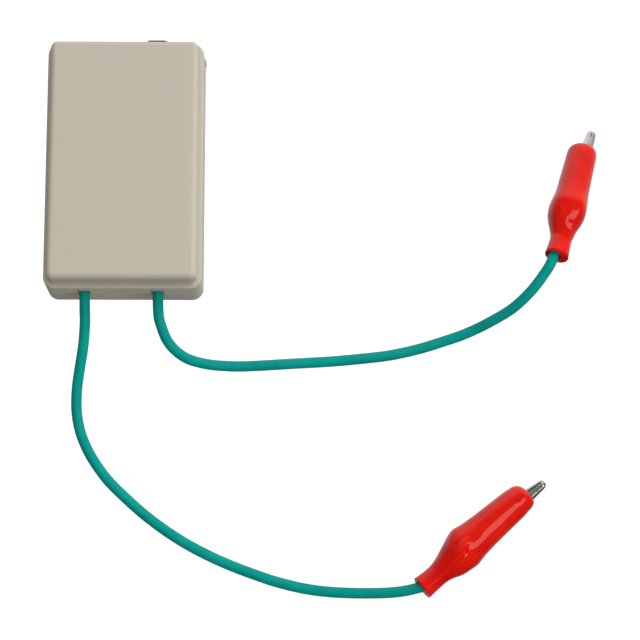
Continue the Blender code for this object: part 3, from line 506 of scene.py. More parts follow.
@dataclass(frozen=True)
class MouldedPlastic:
    """Light grey case plastic with a fine moulded grain."""

    name: str = "case_plastic"
    colour: Point = (0.525, 0.478, 0.378)
    cool: Point = (0.512, 0.475, 0.394)
    cloud_scale: float = 26.0
    speck: Point = (0.32, 0.30, 0.25)
    speck_scale: float = 95.0
    speck_size: float = 0.055
    speck_share: float = 0.10
    rough: Span = (0.46, 0.58)
    rough_scale: float = 900.0
    specular: float = 0.42
    grain_scale: float = 5200.0
    grain_depth: float = 0.02 * MM
    sink_scale: float = 160.0
    sink_depth: float = 0.04 * MM

    def build(self) -> bpy.types.Material:
        """Makes the material.

        Returns:
            The material.
        """
        n = Nodes(self.name)
        tone = n.blend(n.span(n.noise(self.cloud_scale, 2.0), 0.35, 0.65), self.colour, self.cool)
        specks = n.specks(self.speck_scale, self.speck_size, self.speck_share)
        n.put("Base Color", n.blend(specks, tone, self.speck))
        n.put("Roughness", n.span(n.noise(self.rough_scale, 2.0), 0.3, 0.7, *self.rough))
        n.put("Specular IOR Level", self.specular)
        grain = n.bump(n.noise(self.grain_scale, 2.0, 0.6), self.grain_depth, 0.35)
        n.put("Normal", n.bump(n.noise(self.sink_scale, 1.0), self.sink_depth, 0.25, grain))
        return n.material


@dataclass(frozen=True)
class SoftVinyl:
    """Glossy, slightly see-through red vinyl of the boots."""

    name: str = "boot_vinyl"
    colour: Point = (0.75, 0.011, 0.004)
    deep: Point = (0.60, 0.005, 0.002)
    cloud_scale: float = 90.0
    rough: Span = (0.04, 0.08)
    rough_scale: float = 420.0
    specular: float = 0.45
    scatter: float = 0.7
    scatter_reach: float = 2.6 * MM
    scatter_colour: Point = (1.0, 0.12, 0.08)
    wave_scale: float = 210.0
    wave_depth: float = 0.25 * MM
    grain_scale: float = 1400.0
    grain_depth: float = 0.02 * MM

    def build(self) -> bpy.types.Material:
        """Makes the material.

        Returns:
            The material.
        """
        n = Nodes(self.name)
        cloud = n.span(n.noise(self.cloud_scale, 2.0), 0.35, 0.7)
        n.put("Base Color", n.blend(cloud, self.colour, self.deep))
        n.put("Roughness", n.span(n.noise(self.rough_scale, 3.0), 0.3, 0.75, *self.rough))
        n.put("Specular IOR Level", self.specular)
        n.put("Subsurface Weight", self.scatter)
        n.put("Subsurface Scale", self.scatter_reach)
        n.shader.inputs["Subsurface Radius"].default_value = self.scatter_colour
        waves = n.bump(n.noise(self.wave_scale, 1.0), self.wave_depth, 0.1)
        n.put("Normal", n.bump(n.noise(self.grain_scale, 2.0), self.grain_depth, 0.3, waves))
        return n.material


@dataclass(frozen=True)
class LeadVinyl:
    """Teal insulation of the leads, with a faint mottle."""

    name: str = "lead_vinyl"
    colour: Point = (0.001, 0.272, 0.232)
    light: Point = (0.0015, 0.33, 0.28)
    cloud_scale: float = 150.0
    rough: Span = (0.3, 0.42)
    rough_scale: float = 800.0
    specular: float = 0.08
    scatter: float = 0.08
    scatter_reach: float = 0.5 * MM
    grain_scale: float = 1300.0
    grain_depth: float = 0.04 * MM

    def build(self) -> bpy.types.Material:
        """Makes the material.

        Returns:
            The material.
        """
        n = Nodes(self.name)
        cloud = n.span(n.noise(self.cloud_scale, 3.0), 0.35, 0.7)
        n.put("Base Color", n.blend(cloud, self.colour, self.light))
        n.put("Roughness", n.span(n.noise(self.rough_scale, 3.0), 0.3, 0.7, *self.rough))
        n.put("Specular IOR Level", self.specular)
        n.put("Subsurface Weight", self.scatter)
        n.put("Subsurface Scale", self.scatter_reach)
        n.put("Normal", n.bump(n.noise(self.grain_scale, 3.0), self.grain_depth, 0.35))
        return n.material


@dataclass(frozen=True)
class PlatedMetal:
    """Bright plated metal with faint scratches."""

    name: str = "nickel"
    colour: Point = (0.74, 0.72, 0.68)
    stain: Point = (0.60, 0.575, 0.53)
    rough: float = 0.14
    rough_spread: float = 0.12
    stain_scale: float = 700.0
    scratch_scale: float = 2600.0
    scratch_stretch: Point = (1.0, 0.25, 1.0)
    grain_scale: float = 1800.0
    grain_depth: float = 0.01 * MM

    def build(self) -> bpy.types.Material:
        """Makes the material.

        Returns:
            The material.
        """
        n = Nodes(self.name)
        n.put("Metallic", 1.0)
        stains = n.span(n.noise(self.stain_scale, 4.0), 0.45, 0.75)
        n.put("Base Color", n.blend(stains, self.colour, self.stain))
        scratches = n.noise(self.scratch_scale, 3.0, 0.6, self.scratch_stretch)
        n.put("Roughness", n.span(scratches, 0.3, 0.7, self.rough, self.rough + self.rough_spread))
        n.put("Normal", n.bump(n.noise(self.grain_scale, 2.0), self.grain_depth, 0.25))
        return n.material


@dataclass(frozen=True)
class Resin:
    """Plain hard plastic, ceramic or coated board with a faint mottle."""

    name: str
    colour: Point
    mottle: Point
    rough: float = 0.5
    rough_spread: float = 0.1
    mottle_scale: float = 600.0
    grain_scale: float = 2400.0
    grain_depth: float = 0.01 * MM

    def build(self) -> bpy.types.Material:
        """Makes the material.

        Returns:
            The material.
        """
        n = Nodes(self.name)
        mottle = n.span(n.noise(self.mottle_scale, 3.0), 0.35, 0.7)
        n.put("Base Color", n.blend(mottle, self.colour, self.mottle))
        grain = n.noise(self.grain_scale, 2.0)
        n.put("Roughness", n.span(grain, 0.3, 0.7, self.rough, self.rough + self.rough_spread))
        n.put("Normal", n.bump(grain, self.grain_depth, 0.3))
        return n.material


@dataclass(frozen=True)
class Surface:
    """White surface that the tester lies on."""

    name: str = "surface"
    colour: Point = (0.25, 0.25, 0.25)
    rough: float = 0.9
    specular: float = 0.1
    glow_colour: Point = (1.0, 1.0, 1.0)
    glow: float = 0.98

    def build(self) -> bpy.types.Material:
        """Makes the material.

        Returns:
            The material.
        """
        n = Nodes(self.name)
        n.put("Base Color", self.colour)
        n.put("Roughness", self.rough)
        n.put("Specular IOR Level", self.specular)
        n.put("Emission Color", self.glow_colour)
        n.put("Emission Strength", self.glow)
        return n.material


class Finishes:
    """Every material of the scene, made once."""

    def __init__(self) -> None:
        """Makes the materials, one for each slot of the record."""
        makers = {
            Slot.CASE: MouldedPlastic(),
            Slot.SCREW: PlatedMetal("screw_steel", (0.62, 0.62, 0.62), (0.48, 0.48, 0.48), 0.28),
            Slot.BOARD: Resin("board", (0.02, 0.13, 0.05), (0.015, 0.10, 0.04), 0.3),
            Slot.CHIP: Resin("chip", (0.012, 0.012, 0.012), (0.02, 0.02, 0.02), 0.5),
            Slot.CERAMIC: Resin("ceramic", (0.42, 0.34, 0.2), (0.36, 0.29, 0.17), 0.55),
            Slot.CAN: PlatedMetal("can", (0.75, 0.75, 0.74), (0.66, 0.66, 0.66), 0.25),
            Slot.NICKEL: PlatedMetal(),
            Slot.CONTACT: PlatedMetal("contact", (0.83, 0.62, 0.25), (0.75, 0.55, 0.22), 0.2),
            Slot.SPRING: PlatedMetal("spring_steel", (0.45, 0.45, 0.45), (0.36, 0.36, 0.36), 0.3),
            Slot.COPPER: PlatedMetal("copper", (0.72, 0.56, 0.42), (0.65, 0.5, 0.38), 0.3),
            Slot.LEAD: LeadVinyl(),
            Slot.BOOT: SoftVinyl(),
            Slot.STOP: Resin("stop", (0.02, 0.02, 0.02), (0.03, 0.03, 0.03), 0.45),
        }
        self.by_slot = {slot: finish.build() for slot, finish in makers.items()}

    def dress(self, obj: bpy.types.Object, slot: Slot) -> None:
        """Puts a slot's material on a piece."""
        obj.data.materials.clear()
        obj.data.materials.append(self.by_slot[slot])


def add_piece(name: str, mesh: bpy.types.Mesh, body: Body, slot: Slot, finishes: Finishes,
              nodes: tuple[str, ...], ride: bool = True) -> bpy.types.Object:
    """Links a finished mesh as a piece that stands for CAD nodes.

    Args:
        name: Name of the piece.
        mesh: Its mesh.
        body: Body that it rides on.
        slot: Record slot of its finish.
        finishes: The materials.
        nodes: CAD nodes that it replaces.
        ride: Whether it rides on the body as a whole.

    Returns:
        The piece.
    """
    mesh.name = name
    obj = bpy.data.objects.new(name, mesh)
    bpy.context.scene.collection.objects.link(obj)
    finishes.dress(obj, slot)
    if nodes:
        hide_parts(*nodes)
    if ride:
        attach(obj, body.value)
    LOG.info("built %s: %d faces", name, len(mesh.polygons))
    return obj


@dataclass
class Case:
    """Two-part moulded case, its lid screwed on from below.

    A pair is a lowest and a highest height, apart from notches, which says where each notch is in X, and
    screws and standoffs, which say how far out in X and Y each of their sets stands.
    """

    length: float = 80.6 * MM
    width: float = 50.0 * MM
    height: float = 26.0 * MM
    corner: float = 3.6 * MM
    wall: float = 1.8 * MM
    foot_edge: float = 1.0 * MM
    foot_fillet: float = 0.6 * MM
    over_rim: float = 30.0 * MM
    base_rim: float = 17.2 * MM
    base_rim_edge: float = 0.12 * MM
    cut_edge: float = 0.1 * MM
    lid_rim: float = 17.28 * MM
    lid_rim_edge: float = 0.08 * MM
    ledge_top: float = 18.3 * MM
    ledge_edge: float = 0.85 * MM
    ledge_width: float = 1.48 * MM
    top_edge: float = 1.9 * MM
    fillet: float = 0.35 * MM
    fillet_rise: float = 0.5
    fillet_round: float = 0.7
    sunk: float = 0.4 * MM
    tongue: Span = (14.35 * MM, 17.9 * MM)
    tongue_play: float = 0.3 * MM
    tongue_wall: float = 1.2 * MM
    hollow: Span = (12.0 * MM, 24.0 * MM)
    hollow_corner: float = 1.4 * MM
    notches: Span = (10.9 * MM, -12.3 * MM)
    notch_width: float = 3.8 * MM
    notch_bottom: float = 9.4 * MM
    tab_low: float = 11.8 * MM
    tab_high: float = 17.58 * MM
    tab_root: float = 0.5 * MM
    tab_recess: float = 0.25 * MM
    tab_play: float = 0.15 * MM
    saddle: float = 1.85 * MM
    saddle_height: float = 11.2 * MM
    socket_x: float = 9.6 * MM
    window_width: float = 8.3 * MM
    window: Span = (9.5 * MM, 14.1 * MM)
    window_corner: float = 0.8 * MM
    boss_foot: float = 0.9 * MM
    screws: Span = (19.8 * MM, 35.0 * MM)
    boss: float = 3.8 * MM
    boss_top: float = 5.7 * MM
    counterbore: float = 2.9 * MM
    counterbore_depth: float = 2.6 * MM
    screw_hole: float = 1.8 * MM
    base_hole: Span = (1.0 * MM, 7.0 * MM)
    post: float = 3.0 * MM
    post_ends: Span = (6.0 * MM, 24.5 * MM)
    lid_hole: Span = (5.0 * MM, 16.0 * MM)
    standoffs: Span = (16.5 * MM, 24.0 * MM)
    standoff: float = 2.3 * MM
    standoff_top: float = 7.6 * MM
    board_hole: float = 1.1 * MM
    board_hole_ends: Span = (2.8 * MM, 9.0 * MM)
    lug: float = 1.05 * MM
    lug_ends: Span = (6.0 * MM, 12.0 * MM)
    lug_out: float = 24.45 * MM
    lug_from_end: float = 3.55 * MM
    lug_edge: float = 0.45 * MM
    past: float = 1.0 * MM

    def screw_places(self) -> list[Span]:
        """Returns where the four case screws are."""
        x, y = self.screws
        return [(sx * x, sy * y) for sx in (-1, 1) for sy in (-1, 1)]

    def notch(self, x: float) -> bpy.types.Mesh:
        """Builds the cutter of a U notch in the near wall.

        Args:
            x: Where the notch is.

        Returns:
            The mesh.
        """
        near, radius, top = -self.length / 2, self.notch_width / 2, self.over_rim
        turns = [math.pi * k / 24 for k in range(25)]
        middle = self.notch_bottom + radius
        mouth = [(x + radius, top), (x - radius, top)]
        mouth += [(x - radius * math.cos(a), middle - radius * math.sin(a)) for a in turns]
        return Shape.prism(mouth, near - self.past, near + self.wall + self.past)

    def socket_window(self) -> bpy.types.Mesh:
        """Builds the cutter of the socket's window in the far wall.

        Returns:
            The mesh.
        """
        near, half = -self.length / 2, self.window_width / 2
        low, high = self.window
        window = Shape.block((self.socket_x - half, low, near - self.past),
                             (self.socket_x + half, high, near + self.wall + self.past),
                             self.window_corner, steps=6)
        to_far_wall = Matrix(((1, 0, 0, 0), (0, 0, -1, 0), (0, 1, 0, 0), (0, 0, 0, 1)))
        window.transform(to_far_wall)
        return window

    def base(self) -> bpy.types.Mesh:
        """Builds the lower shell.

        Returns:
            The mesh.
        """
        hx, hy = self.width / 2, self.length / 2
        outer = Shape.block((-hx, -hy, 0.0), (hx, hy, self.base_rim), self.corner, self.foot_edge,
                            self.base_rim_edge, edge_steps=5)
        inner = Shape.block((-hx + self.wall, -hy + self.wall, self.wall),
                            (hx - self.wall, hy - self.wall, self.over_rim),
                            self.corner - self.wall, self.foot_fillet, steps=12, edge_steps=3)
        x, y = self.standoffs
        bosses = [Shape.drum(self.boss, self.boss_foot, self.boss_top, at) for at in self.screw_places()]
        bosses += [Shape.drum(self.standoff, self.boss_foot, self.standoff_top, (sx * x, sy * y))
                   for sx in (-1, 1) for sy in (-1, 1)]
        lug = Shape.drum(self.lug, *self.lug_ends, (self.lug_out, hy - self.lug_from_end), 32, self.lug_edge)
        sinks = [Shape.drum(self.counterbore, -self.past, self.counterbore_depth, at)
                 for at in self.screw_places()]
        holes = [Shape.drum(self.screw_hole, *self.base_hole, at) for at in self.screw_places()]
        holes += [Shape.drum(self.board_hole, *self.board_hole_ends, (s * x, s * y)) for s in (-1, 1)]
        steps = [(Carve.CUT, inner), (Carve.ADD, Shape.join(bosses, "bosses")), (Carve.ADD, lug),
                 (Carve.CUT, Shape.join(sinks, "counterbores")),
                 (Carve.CUT, Shape.join(holes, "holes"))]
        steps += [(Carve.CUT, self.notch(x)) for x in self.notches]
        steps.append((Carve.CUT, self.socket_window()))
        mesh = Shape.carve(outer, steps, self.cut_edge)
        Shape.shade(mesh)
        return mesh

    def tab(self, x: float) -> list[Step]:
        """Builds the tab of the lid that closes a notch above its lead, and the saddle cut in it.

        Args:
            x: Where the notch is.

        Returns:
            The two steps for carving them, the tab first.
        """
        near, half = -self.length / 2, self.notch_width / 2 - self.tab_play
        back = near + self.wall + self.tongue_play
        block = Shape.block((x - half, near + self.tab_recess, self.tab_low),
                            (x + half, back + self.tab_root, self.tab_high))
        centre = Vector((x, self.saddle_height, 0.0))
        across, up = Vector((1.0, 0.0, 0.0)), Vector((0.0, 1.0, 0.0))
        round_lead = [(px, pz) for px, pz, _ in hoop(centre, across, up, self.saddle, 32)]
        return [(Carve.ADD, block), (Carve.CUT, Shape.prism(round_lead, near - self.past, back + self.past))]

    def lid(self) -> bpy.types.Mesh:
        """Builds the upper shell.

        Returns:
            The mesh.
        """
        hx, hy = self.width / 2, self.length / 2
        tx, ty = hx - self.ledge_width, hy - self.ledge_width
        nx, ny = hx - self.wall - self.tongue_play, hy - self.wall - self.tongue_play
        ix, iy = nx - self.tongue_wall, ny - self.tongue_wall
        low, radius, root = self.lid_rim + self.sunk, self.corner - self.ledge_width, self.fillet
        ledge = Shape.block((-hx, -hy, self.lid_rim), (hx, hy, self.ledge_top), self.corner,
                            self.lid_rim_edge, self.ledge_edge)
        raised = Shape.block((-tx, -ty, low), (tx, ty, self.height), radius, rim=self.top_edge,
                             edge_steps=10)
        skirt = Shape.block((-tx - root, -ty - root, low),
                            (tx + root, ty + root, self.ledge_top + root * self.fillet_rise),
                            radius + root, rim=root * self.fillet_round, edge_steps=3)
        tongue = Shape.block((-nx, -ny, self.tongue[0]), (nx, ny, self.tongue[1]),
                             self.corner - self.wall - self.tongue_play)
        steps = [(Carve.ADD, raised), (Carve.ADD, skirt), (Carve.ADD, tongue)]
        for x in self.notches:
            steps += self.tab(x)
        inside = Shape.block((-ix, -iy, self.hollow[0]), (ix, iy, self.hollow[1]), self.hollow_corner)
        posts = [Shape.drum(self.post, *self.post_ends, at) for at in self.screw_places()]
        holes = [Shape.drum(self.screw_hole, *self.lid_hole, at) for at in self.screw_places()]
        steps += [(Carve.CUT, inside), (Carve.ADD, Shape.join(posts, "posts")),
                  (Carve.CUT, Shape.join(holes, "holes"))]
        mesh = Shape.carve(ledge, steps)
        Shape.shade(mesh)
        return mesh

    def build(self, finishes: Finishes) -> None:
        """Builds and dresses both shells.

        Args:
            finishes: The materials.
        """
        for name, mesh, node in (("case_base", self.base(), "base_shell"),
                                 ("case_lid", self.lid(), "lid_shell")):
            piece = add_piece(name, mesh, Body.TESTER, Slot.CASE, finishes, (node,))
            even = piece.modifiers.new("even", "WEIGHTED_NORMAL")
            even.keep_sharp = True


@dataclass
class Socket:
    """Folded metal shell of the mini USB socket."""

    x: float = 9.6 * MM
    low: float = 9.8 * MM
    mouth: float = 42.9 * MM
    length: float = 9.2 * MM
    wide: float = 7.7 * MM
    top: float = 5.8 * MM
    tall: float = 3.95 * MM
    knee: float = 0.52
    top_inset: float = 0.6
    knee_inset: float = 0.4
    skin: float = 0.4 * MM
    corner: float = 0.7 * MM
    inner_corner: float = 0.4 * MM
    latches: tuple[Span, ...] = ((-1.6 * MM, -0.6 * MM), (0.95 * MM, 1.9 * MM))
    latch_ends: Span = (3.6 * MM, 0.7 * MM)
    latch_corner: float = 0.25 * MM
    seam: float = 0.04 * MM
    seam_depth: float = 0.12 * MM
    edge: float = 0.05 * MM
    past: float = 1.0 * MM

    def outline(self, inset: float, radius: float) -> list[Span]:
        """Returns the outline of the shell, inset by a wall thickness.

        Args:
            inset: How far inside the outer face it lies.
            radius: Radius of its corners.

        Returns:
            Points in X and Z.
        """
        w, t, h = self.wide / 2 - inset, self.top / 2 - inset * self.top_inset, self.tall - inset
        knee = self.tall * self.knee - inset * self.knee_inset
        corners = [Vector(p) for p in ((-w, inset), (w, inset), (w, knee), (t, h), (-t, h), (-w, knee))]
        points = []
        for i, here in enumerate(corners):
            back = (corners[i - 1] - here).normalized()
            ahead = (corners[(i + 1) % len(corners)] - here).normalized()
            half = back.angle(ahead) / 2
            reach = radius / math.tan(half)
            middle = here + (back + ahead).normalized() * radius / math.sin(half)
            first, last = here + back * reach - middle, here + ahead * reach - middle
            for k in range(7):
                arm = first.lerp(last, k / 6).normalized() * radius
                points.append((self.x + (middle + arm).x, self.low + (middle + arm).y))
        return points

    def build(self, finishes: Finishes) -> None:
        """Builds and dresses the shell.

        Args:
            finishes: The materials.
        """
        back, front, top = self.mouth - self.length, self.mouth + self.past, self.low + self.tall
        outer = Shape.prism(self.outline(0.0, self.corner), back, self.mouth)
        inner = Shape.prism(self.outline(self.skin, self.inner_corner), back - self.past, front)
        slots = [Shape.block((self.x + left, self.mouth - self.latch_ends[0], self.low + self.tall / 2),
                             (self.x + right, self.mouth - self.latch_ends[1], top + self.past),
                             self.latch_corner, steps=4) for left, right in self.latches]
        seam = Shape.block((self.x - self.seam, back - self.past, self.low - self.past),
                           (self.x + self.seam, front, self.low + self.seam_depth))
        mesh = Shape.carve(outer, [(Carve.CUT, inner), (Carve.CUT, Shape.join(slots, "slots")),
                                   (Carve.CUT, seam)], self.edge)
        Shape.shade(mesh)
        add_piece("socket_shell", mesh, Body.TESTER, Slot.NICKEL, finishes, ("usb_socket_shell",))


@dataclass
class Lead:
    """One insulated lead, from the board to its clip. Its route is in millimetres."""

    name: str
    node: str
    knots: tuple[Point, ...]
    with_pieces: tuple[str, ...]
    radius: float = 1.7 * MM
    sides: int = 32
    step: float = 1.1 * MM
    last_step: float = 0.4 * MM
    cut_share: float = 0.9
    cut_edge: float = 0.12 * MM
    sharp: float = 60.0

    def path(self) -> list[Vector]:
        """Reads a smooth curve through the route points at an even step.

        Returns:
            Points of the centre line, from the board to the clip.
        """
        knots = [Vector(p) * MM for p in self.knots]
        knots = [knots[0] * 2 - knots[1], *knots, knots[-1] * 2 - knots[-2]]
        fine = []
        for a, b, c, d in zip(knots, knots[1:], knots[2:], knots[3:]):
            for k in range(16):
                t = k / 16
                fine.append(0.5 * ((2 * b) + (c - a) * t + (2 * a - 5 * b + 4 * c - d) * t * t
                                   + (3 * b - a - 3 * c + d) * t ** 3))
        fine.append(knots[-2])
        points = [fine[0]]
        walked = 0.0
        for p, q in zip(fine, fine[1:]):
            walked += (q - p).length
            if walked >= self.step:
                points.append(q)
                walked = 0.0
        if (points[-1] - fine[-1]).length > self.last_step:
            points.append(fine[-1])
        return points

    def tube(self, path: list[Vector]) -> bpy.types.Mesh:
        """Builds the insulation along its path.

        Args:
            path: Points of its centre line.

        Returns:
            The tube, with the edges of its two cut ends taken off.
        """
        rings = []
        normal = Vector((0.0, 0.0, 1.0))
        last = len(path) - 1
        for i, point in enumerate(path):
            tangent = (path[min(i + 1, last)] - path[max(i - 1, 0)]).normalized()
            normal = (normal - tangent * normal.dot(tangent)).normalized()
            side = tangent.cross(normal)
            cuts = ((1.0, 0.0),)
            if i == 0:
                cuts = ((self.cut_share, 0.0), (1.0, self.cut_edge))
            elif i == last:
                cuts = ((1.0, -self.cut_edge), (self.cut_share, 0.0))
            for share, shift in cuts:
                rings.append(hoop(point + tangent * shift, normal, side, self.radius * share, self.sides))
        return Shape.skin(rings)

    def build(self, finishes: Finishes) -> None:
        """Args:
            finishes: The materials.
        """
        path = self.path()
        mesh = self.tube(path)
        Shape.shade(mesh, self.sharp)
        piece = add_piece(self.name, mesh, Body.TESTER, Slot.LEAD, finishes, (self.node,))


@dataclass(frozen=True)
class Ridge:
    """Soft ridge along a boot: angles in degrees round it, ends in shares of its length, height in mm."""

    angle: float
    drift: float
    start: float
    end: float
    height: float
    width: float

    def lift(self, share: float, turn: float) -> float:
        """Reads how high the ridge stands.

        Args:
            share: Where along the boot.
            turn: Where round it.

        Returns:
            The height in millimetres.
        """
        if not self.start < share < self.end:
            return 0.0
        along = (share - self.start) / (self.end - self.start)
        here = math.radians(self.angle + self.drift * along)
        gap = math.atan2(math.sin(turn - here), math.cos(turn - here))
        fade = math.sin(math.pi * along) ** 0.7
        return self.height * fade * math.exp(-(gap / math.radians(self.width)) ** 2)


@dataclass(frozen=True)
class Flat:
    """Flat stretch along a boot, at an angle in degrees round it and between two shares of its length."""

    angle: float
    start: float
    end: float

    def trim(self, share: float, square: float, wide: float, high: float, at: Span) -> Span:
        """Brings a point of a section in to the flat.

        Args:
            share: Where along the boot the section lies.
            square: How square the section is.
            wide: Its half size across the opening plane.
            high: Its half size in the opening plane.
            at: The point, across and up from its middle.

        Returns:
            The point, on the flat if it stood outside it.
        """
        if not self.start < share < self.end:
            return at
        turn = math.radians(self.angle)
        c, s = math.cos(turn), math.sin(turn)
        reach = (wide * c * c + high * s * s) * bulge(turn, square)
        over = (at[0] * c + at[1] * s) / reach
        return (at[0] / over, at[1] / over) if over > 1.0 else at


@dataclass
class Clip:
    """Sprung clip: two stamped jaws and a soft boot over their handles.

    Its own frame has its origin at the nose: u runs back along the axis, then comes across, then up, the
    way the moving jaw opens. Knots of the boot's outline pair a share of its length with millimetres, and
    the lists of places along the jaws, their teeth and the lip of the boot are in millimetres too.
    """

    key: str
    body: Body
    heading: float
    lift: float
    front: float
    tail: float
    span: float
    drift: Knots
    side: float
    ridges: tuple[Ridge, ...]
    mouth: float
    flat: Flat | None = None
    pivot_u: float = 17.0 * MM
    lead_end: float = 36.0 * MM
    sheet: float = 0.5 * MM
    fixed_ear: float = 2.8 * MM
    moving_ear: float = 2.0 * MM
    ear_radius: float = 1.75 * MM
    ear_half: float = 0.21 * MM
    bore: float = 1.15 * MM
    lean: Span = (0.21, 0.13)
    tip_u: tuple[float, ...] = (0.0, 0.12, 0.35, 0.7, 1.2)
    teeth_u: float = 1.5
    teeth_step: float = 0.25
    teeth_count: int = 41
    teeth: tuple[float, ...] = (0.0, 0.12, 0.24, 0.12)
    back_u: tuple[float, ...] = (12.5, 13.0, 13.5, 14.0, 15.0, 17.0, 19.0, 20.0, 20.5, 24.0, 28.0, 31.5)
    hollow_u: tuple[float, ...] = (0.95, 2.0, 4.0, 6.4, 9.0, 12.0, 12.5, 13.0, 13.5, 14.0, 15.0, 20.5, 26.0,
                                   32.5)
    hollow_rim: float = -2.5 * MM
    arc_steps: int = 24
    arc_power: float = 0.85
    crimp: Ends = ((28.9 * MM, -2.36 * MM, -4.3 * MM), (30.7 * MM, 2.36 * MM, -2.8 * MM))
    crimp_way: Ends = ((27.9 * MM, -1.9 * MM, -4.85 * MM), (32.7 * MM, 1.9 * MM, -3.3 * MM))
    groove: Ends = ((1.3 * MM, -0.12 * MM, 0.9 * MM), (3.1 * MM, 0.12 * MM, 2.6 * MM))
    groove_corner: float = 0.1 * MM
    jaw_sharp: float = 38.0
    wall: float = 0.9 * MM
    tail_wall: float = 0.7 * MM
    tail_blend: Span = (0.5 * MM, 5.0 * MM)
    dome: float = 3.2 * MM
    dome_steps: int = 12
    dome_inside: Knots = ((2.4, 1.0), (0.9, 0.35), (0.35, 0.08))
    opening: float = 2.3 * MM
    along_steps: int = 84
    lip_length: float = 0.25 * MM
    lip: Knots = ((0.18, 0.06), (0.06, 0.2), (0.0, 0.4), (0.0, 0.8), (0.03, 1.35), (0.15, 1.6))
    high: Knots = ((0.035, 4.35), (0.12, 5.0), (0.39, 5.65), (0.50, 6.1), (0.586, 6.85), (0.64, 6.35),
                   (0.72, 5.4), (0.76, 4.62), (0.80, 4.0), (0.85, 3.55), (0.92, 3.6), (1.0, 3.85))
    wide: Knots = ((0.035, 4.35), (0.12, 4.9), (0.30, 5.1), (0.45, 5.3), (0.57, 5.95), (0.62, 6.1),
                   (0.68, 5.75), (0.78, 4.25), (0.85, 3.45), (0.92, 3.6), (1.0, 3.85))
    square: Knots = ((0.0, 2.0), (0.3, 2.1), (0.5, 2.25), (0.6, 2.3), (0.75, 2.05), (1.0, 2.2))
    high_blur: float = 0.018
    wide_blur: float = 0.022
    square_blur: float = 0.03
    drift_blur: float = 0.04
    points: int = 96
    boot_sharp: float = 75.0
    wire: float = 0.25 * MM
    coil_sharp: float = 60.0
    coil_radius: float = 1.4 * MM
    coil_half: float = 0.8 * MM
    coil_turns: int = 2
    arm: float = 10.0 * MM
    arm_rise: float = 3.45 * MM
    bend_lean: float = 15.0
    bend: Span = (-6.0 * MM, -1.5 * MM)
    twist: Span = (0.2 * MM, 1.7 * MM)
    matrix: Matrix = field(init=False)

    def __post_init__(self) -> None:
        """Finds the clip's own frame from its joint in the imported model."""
        joint = next(j for j in frame["joints"] if j["name"] == f"clip_{self.key}_open")
        across = Vector(joint["axis"]).normalized()
        turn, lift = math.radians(self.heading), math.radians(self.lift)
        back = Vector((-math.cos(turn) * math.cos(lift), -math.sin(turn) * math.cos(lift), math.sin(lift)))
        back = (back - across * back.dot(across)).normalized()
        up = back.cross(across)
        nose = Vector(joint["pos_m"]) - back * self.pivot_u
        self.matrix = Matrix((back, across, up)).transposed().to_4x4()
        self.matrix.translation = nose

    def place(self, mesh: bpy.types.Mesh) -> bpy.types.Mesh:
        """Moves a mesh from the clip's frame to the part's."""
        mesh.transform(self.matrix)
        return mesh

    def ear(self, fixed: bool) -> float:
        """Returns how far out the ears of a jaw stand."""
        return self.fixed_ear if fixed else self.moving_ear

    def half_width(self, u: float, fixed: bool) -> float:
        """Returns the outer half width of a jaw.

        Args:
            u: Place along the clip.
            fixed: Whether it is the fixed jaw.

        Returns:
            The half width.
        """
        ear = self.ear(fixed) / MM
        knots = ((0.0, 0.6), (0.12, 0.98), (0.35, 1.28), (0.7, 1.48), (1.2, 1.62), (3.0, 1.76), (6.4, 1.92),
                 (12.5, 1.98), (14.0, ear), (20.5, ear), (31.5, 2.4))
        return ramp(u / MM, knots) * MM

    def depth(self, u: float) -> float:
        """Returns how far the back of a jaw stands off the axis.

        Args:
            u: Place along the clip.

        Returns:
            The distance.
        """
        knots = ((0.0, 0.5), (0.12, 0.82), (0.35, 1.12), (0.7, 1.36), (1.2, 1.52), (3.0, 1.7), (6.4, 2.1),
                 (12.0, 2.75), (15.0, 3.2), (20.0, 3.3), (31.5, 5.3))
        return ramp(u / MM, knots) * MM

    def rim(self, u: float) -> float:
        """Returns how far the open side of a jaw stands off the axis, apart from its teeth."""
        return ramp(u / MM, ((12.5, 0.05), (13.5, 0.3), (19.0, 0.3), (31.5, 3.9))) * MM

    def section(self, u: float, half: float, rim: float, back: float, side: int) -> list[Point]:
        """Builds one section of a jaw.

        Args:
            u: Its place along the clip.
            half: Its half width.
            rim: Where its open side lies.
            back: Where its back lies.
            side: 1 for the moving jaw and -1 for the fixed one.

        Returns:
            Its points in the clip's frame.
        """
        straight = ramp(u / MM, ((11.0, 0.5), (14.0, 0.6), (21.0, 0.6), (31.5, 0.3)))
        shoulder = self.rim(u) + (self.depth(u) - self.rim(u)) * straight
        shoulder = min(shoulder, back - 0.02 * MM)
        lean = 1 - ramp(u / MM, ((10.0, self.lean[0] if side < 0 else self.lean[1]), (14.0, 0.0)))
        ring = [(u, half, side * rim)]
        for k in range(self.arc_steps + 1):
            turn = math.pi * k / self.arc_steps
            flat = math.copysign(abs(math.cos(turn)) ** self.arc_power, math.cos(turn))
            rise = shoulder + (back - shoulder) * math.sin(turn) ** self.arc_power
            ring.append((u, half * lean * flat, side * rise))
        ring.append((u, -half, side * rim))
        return ring

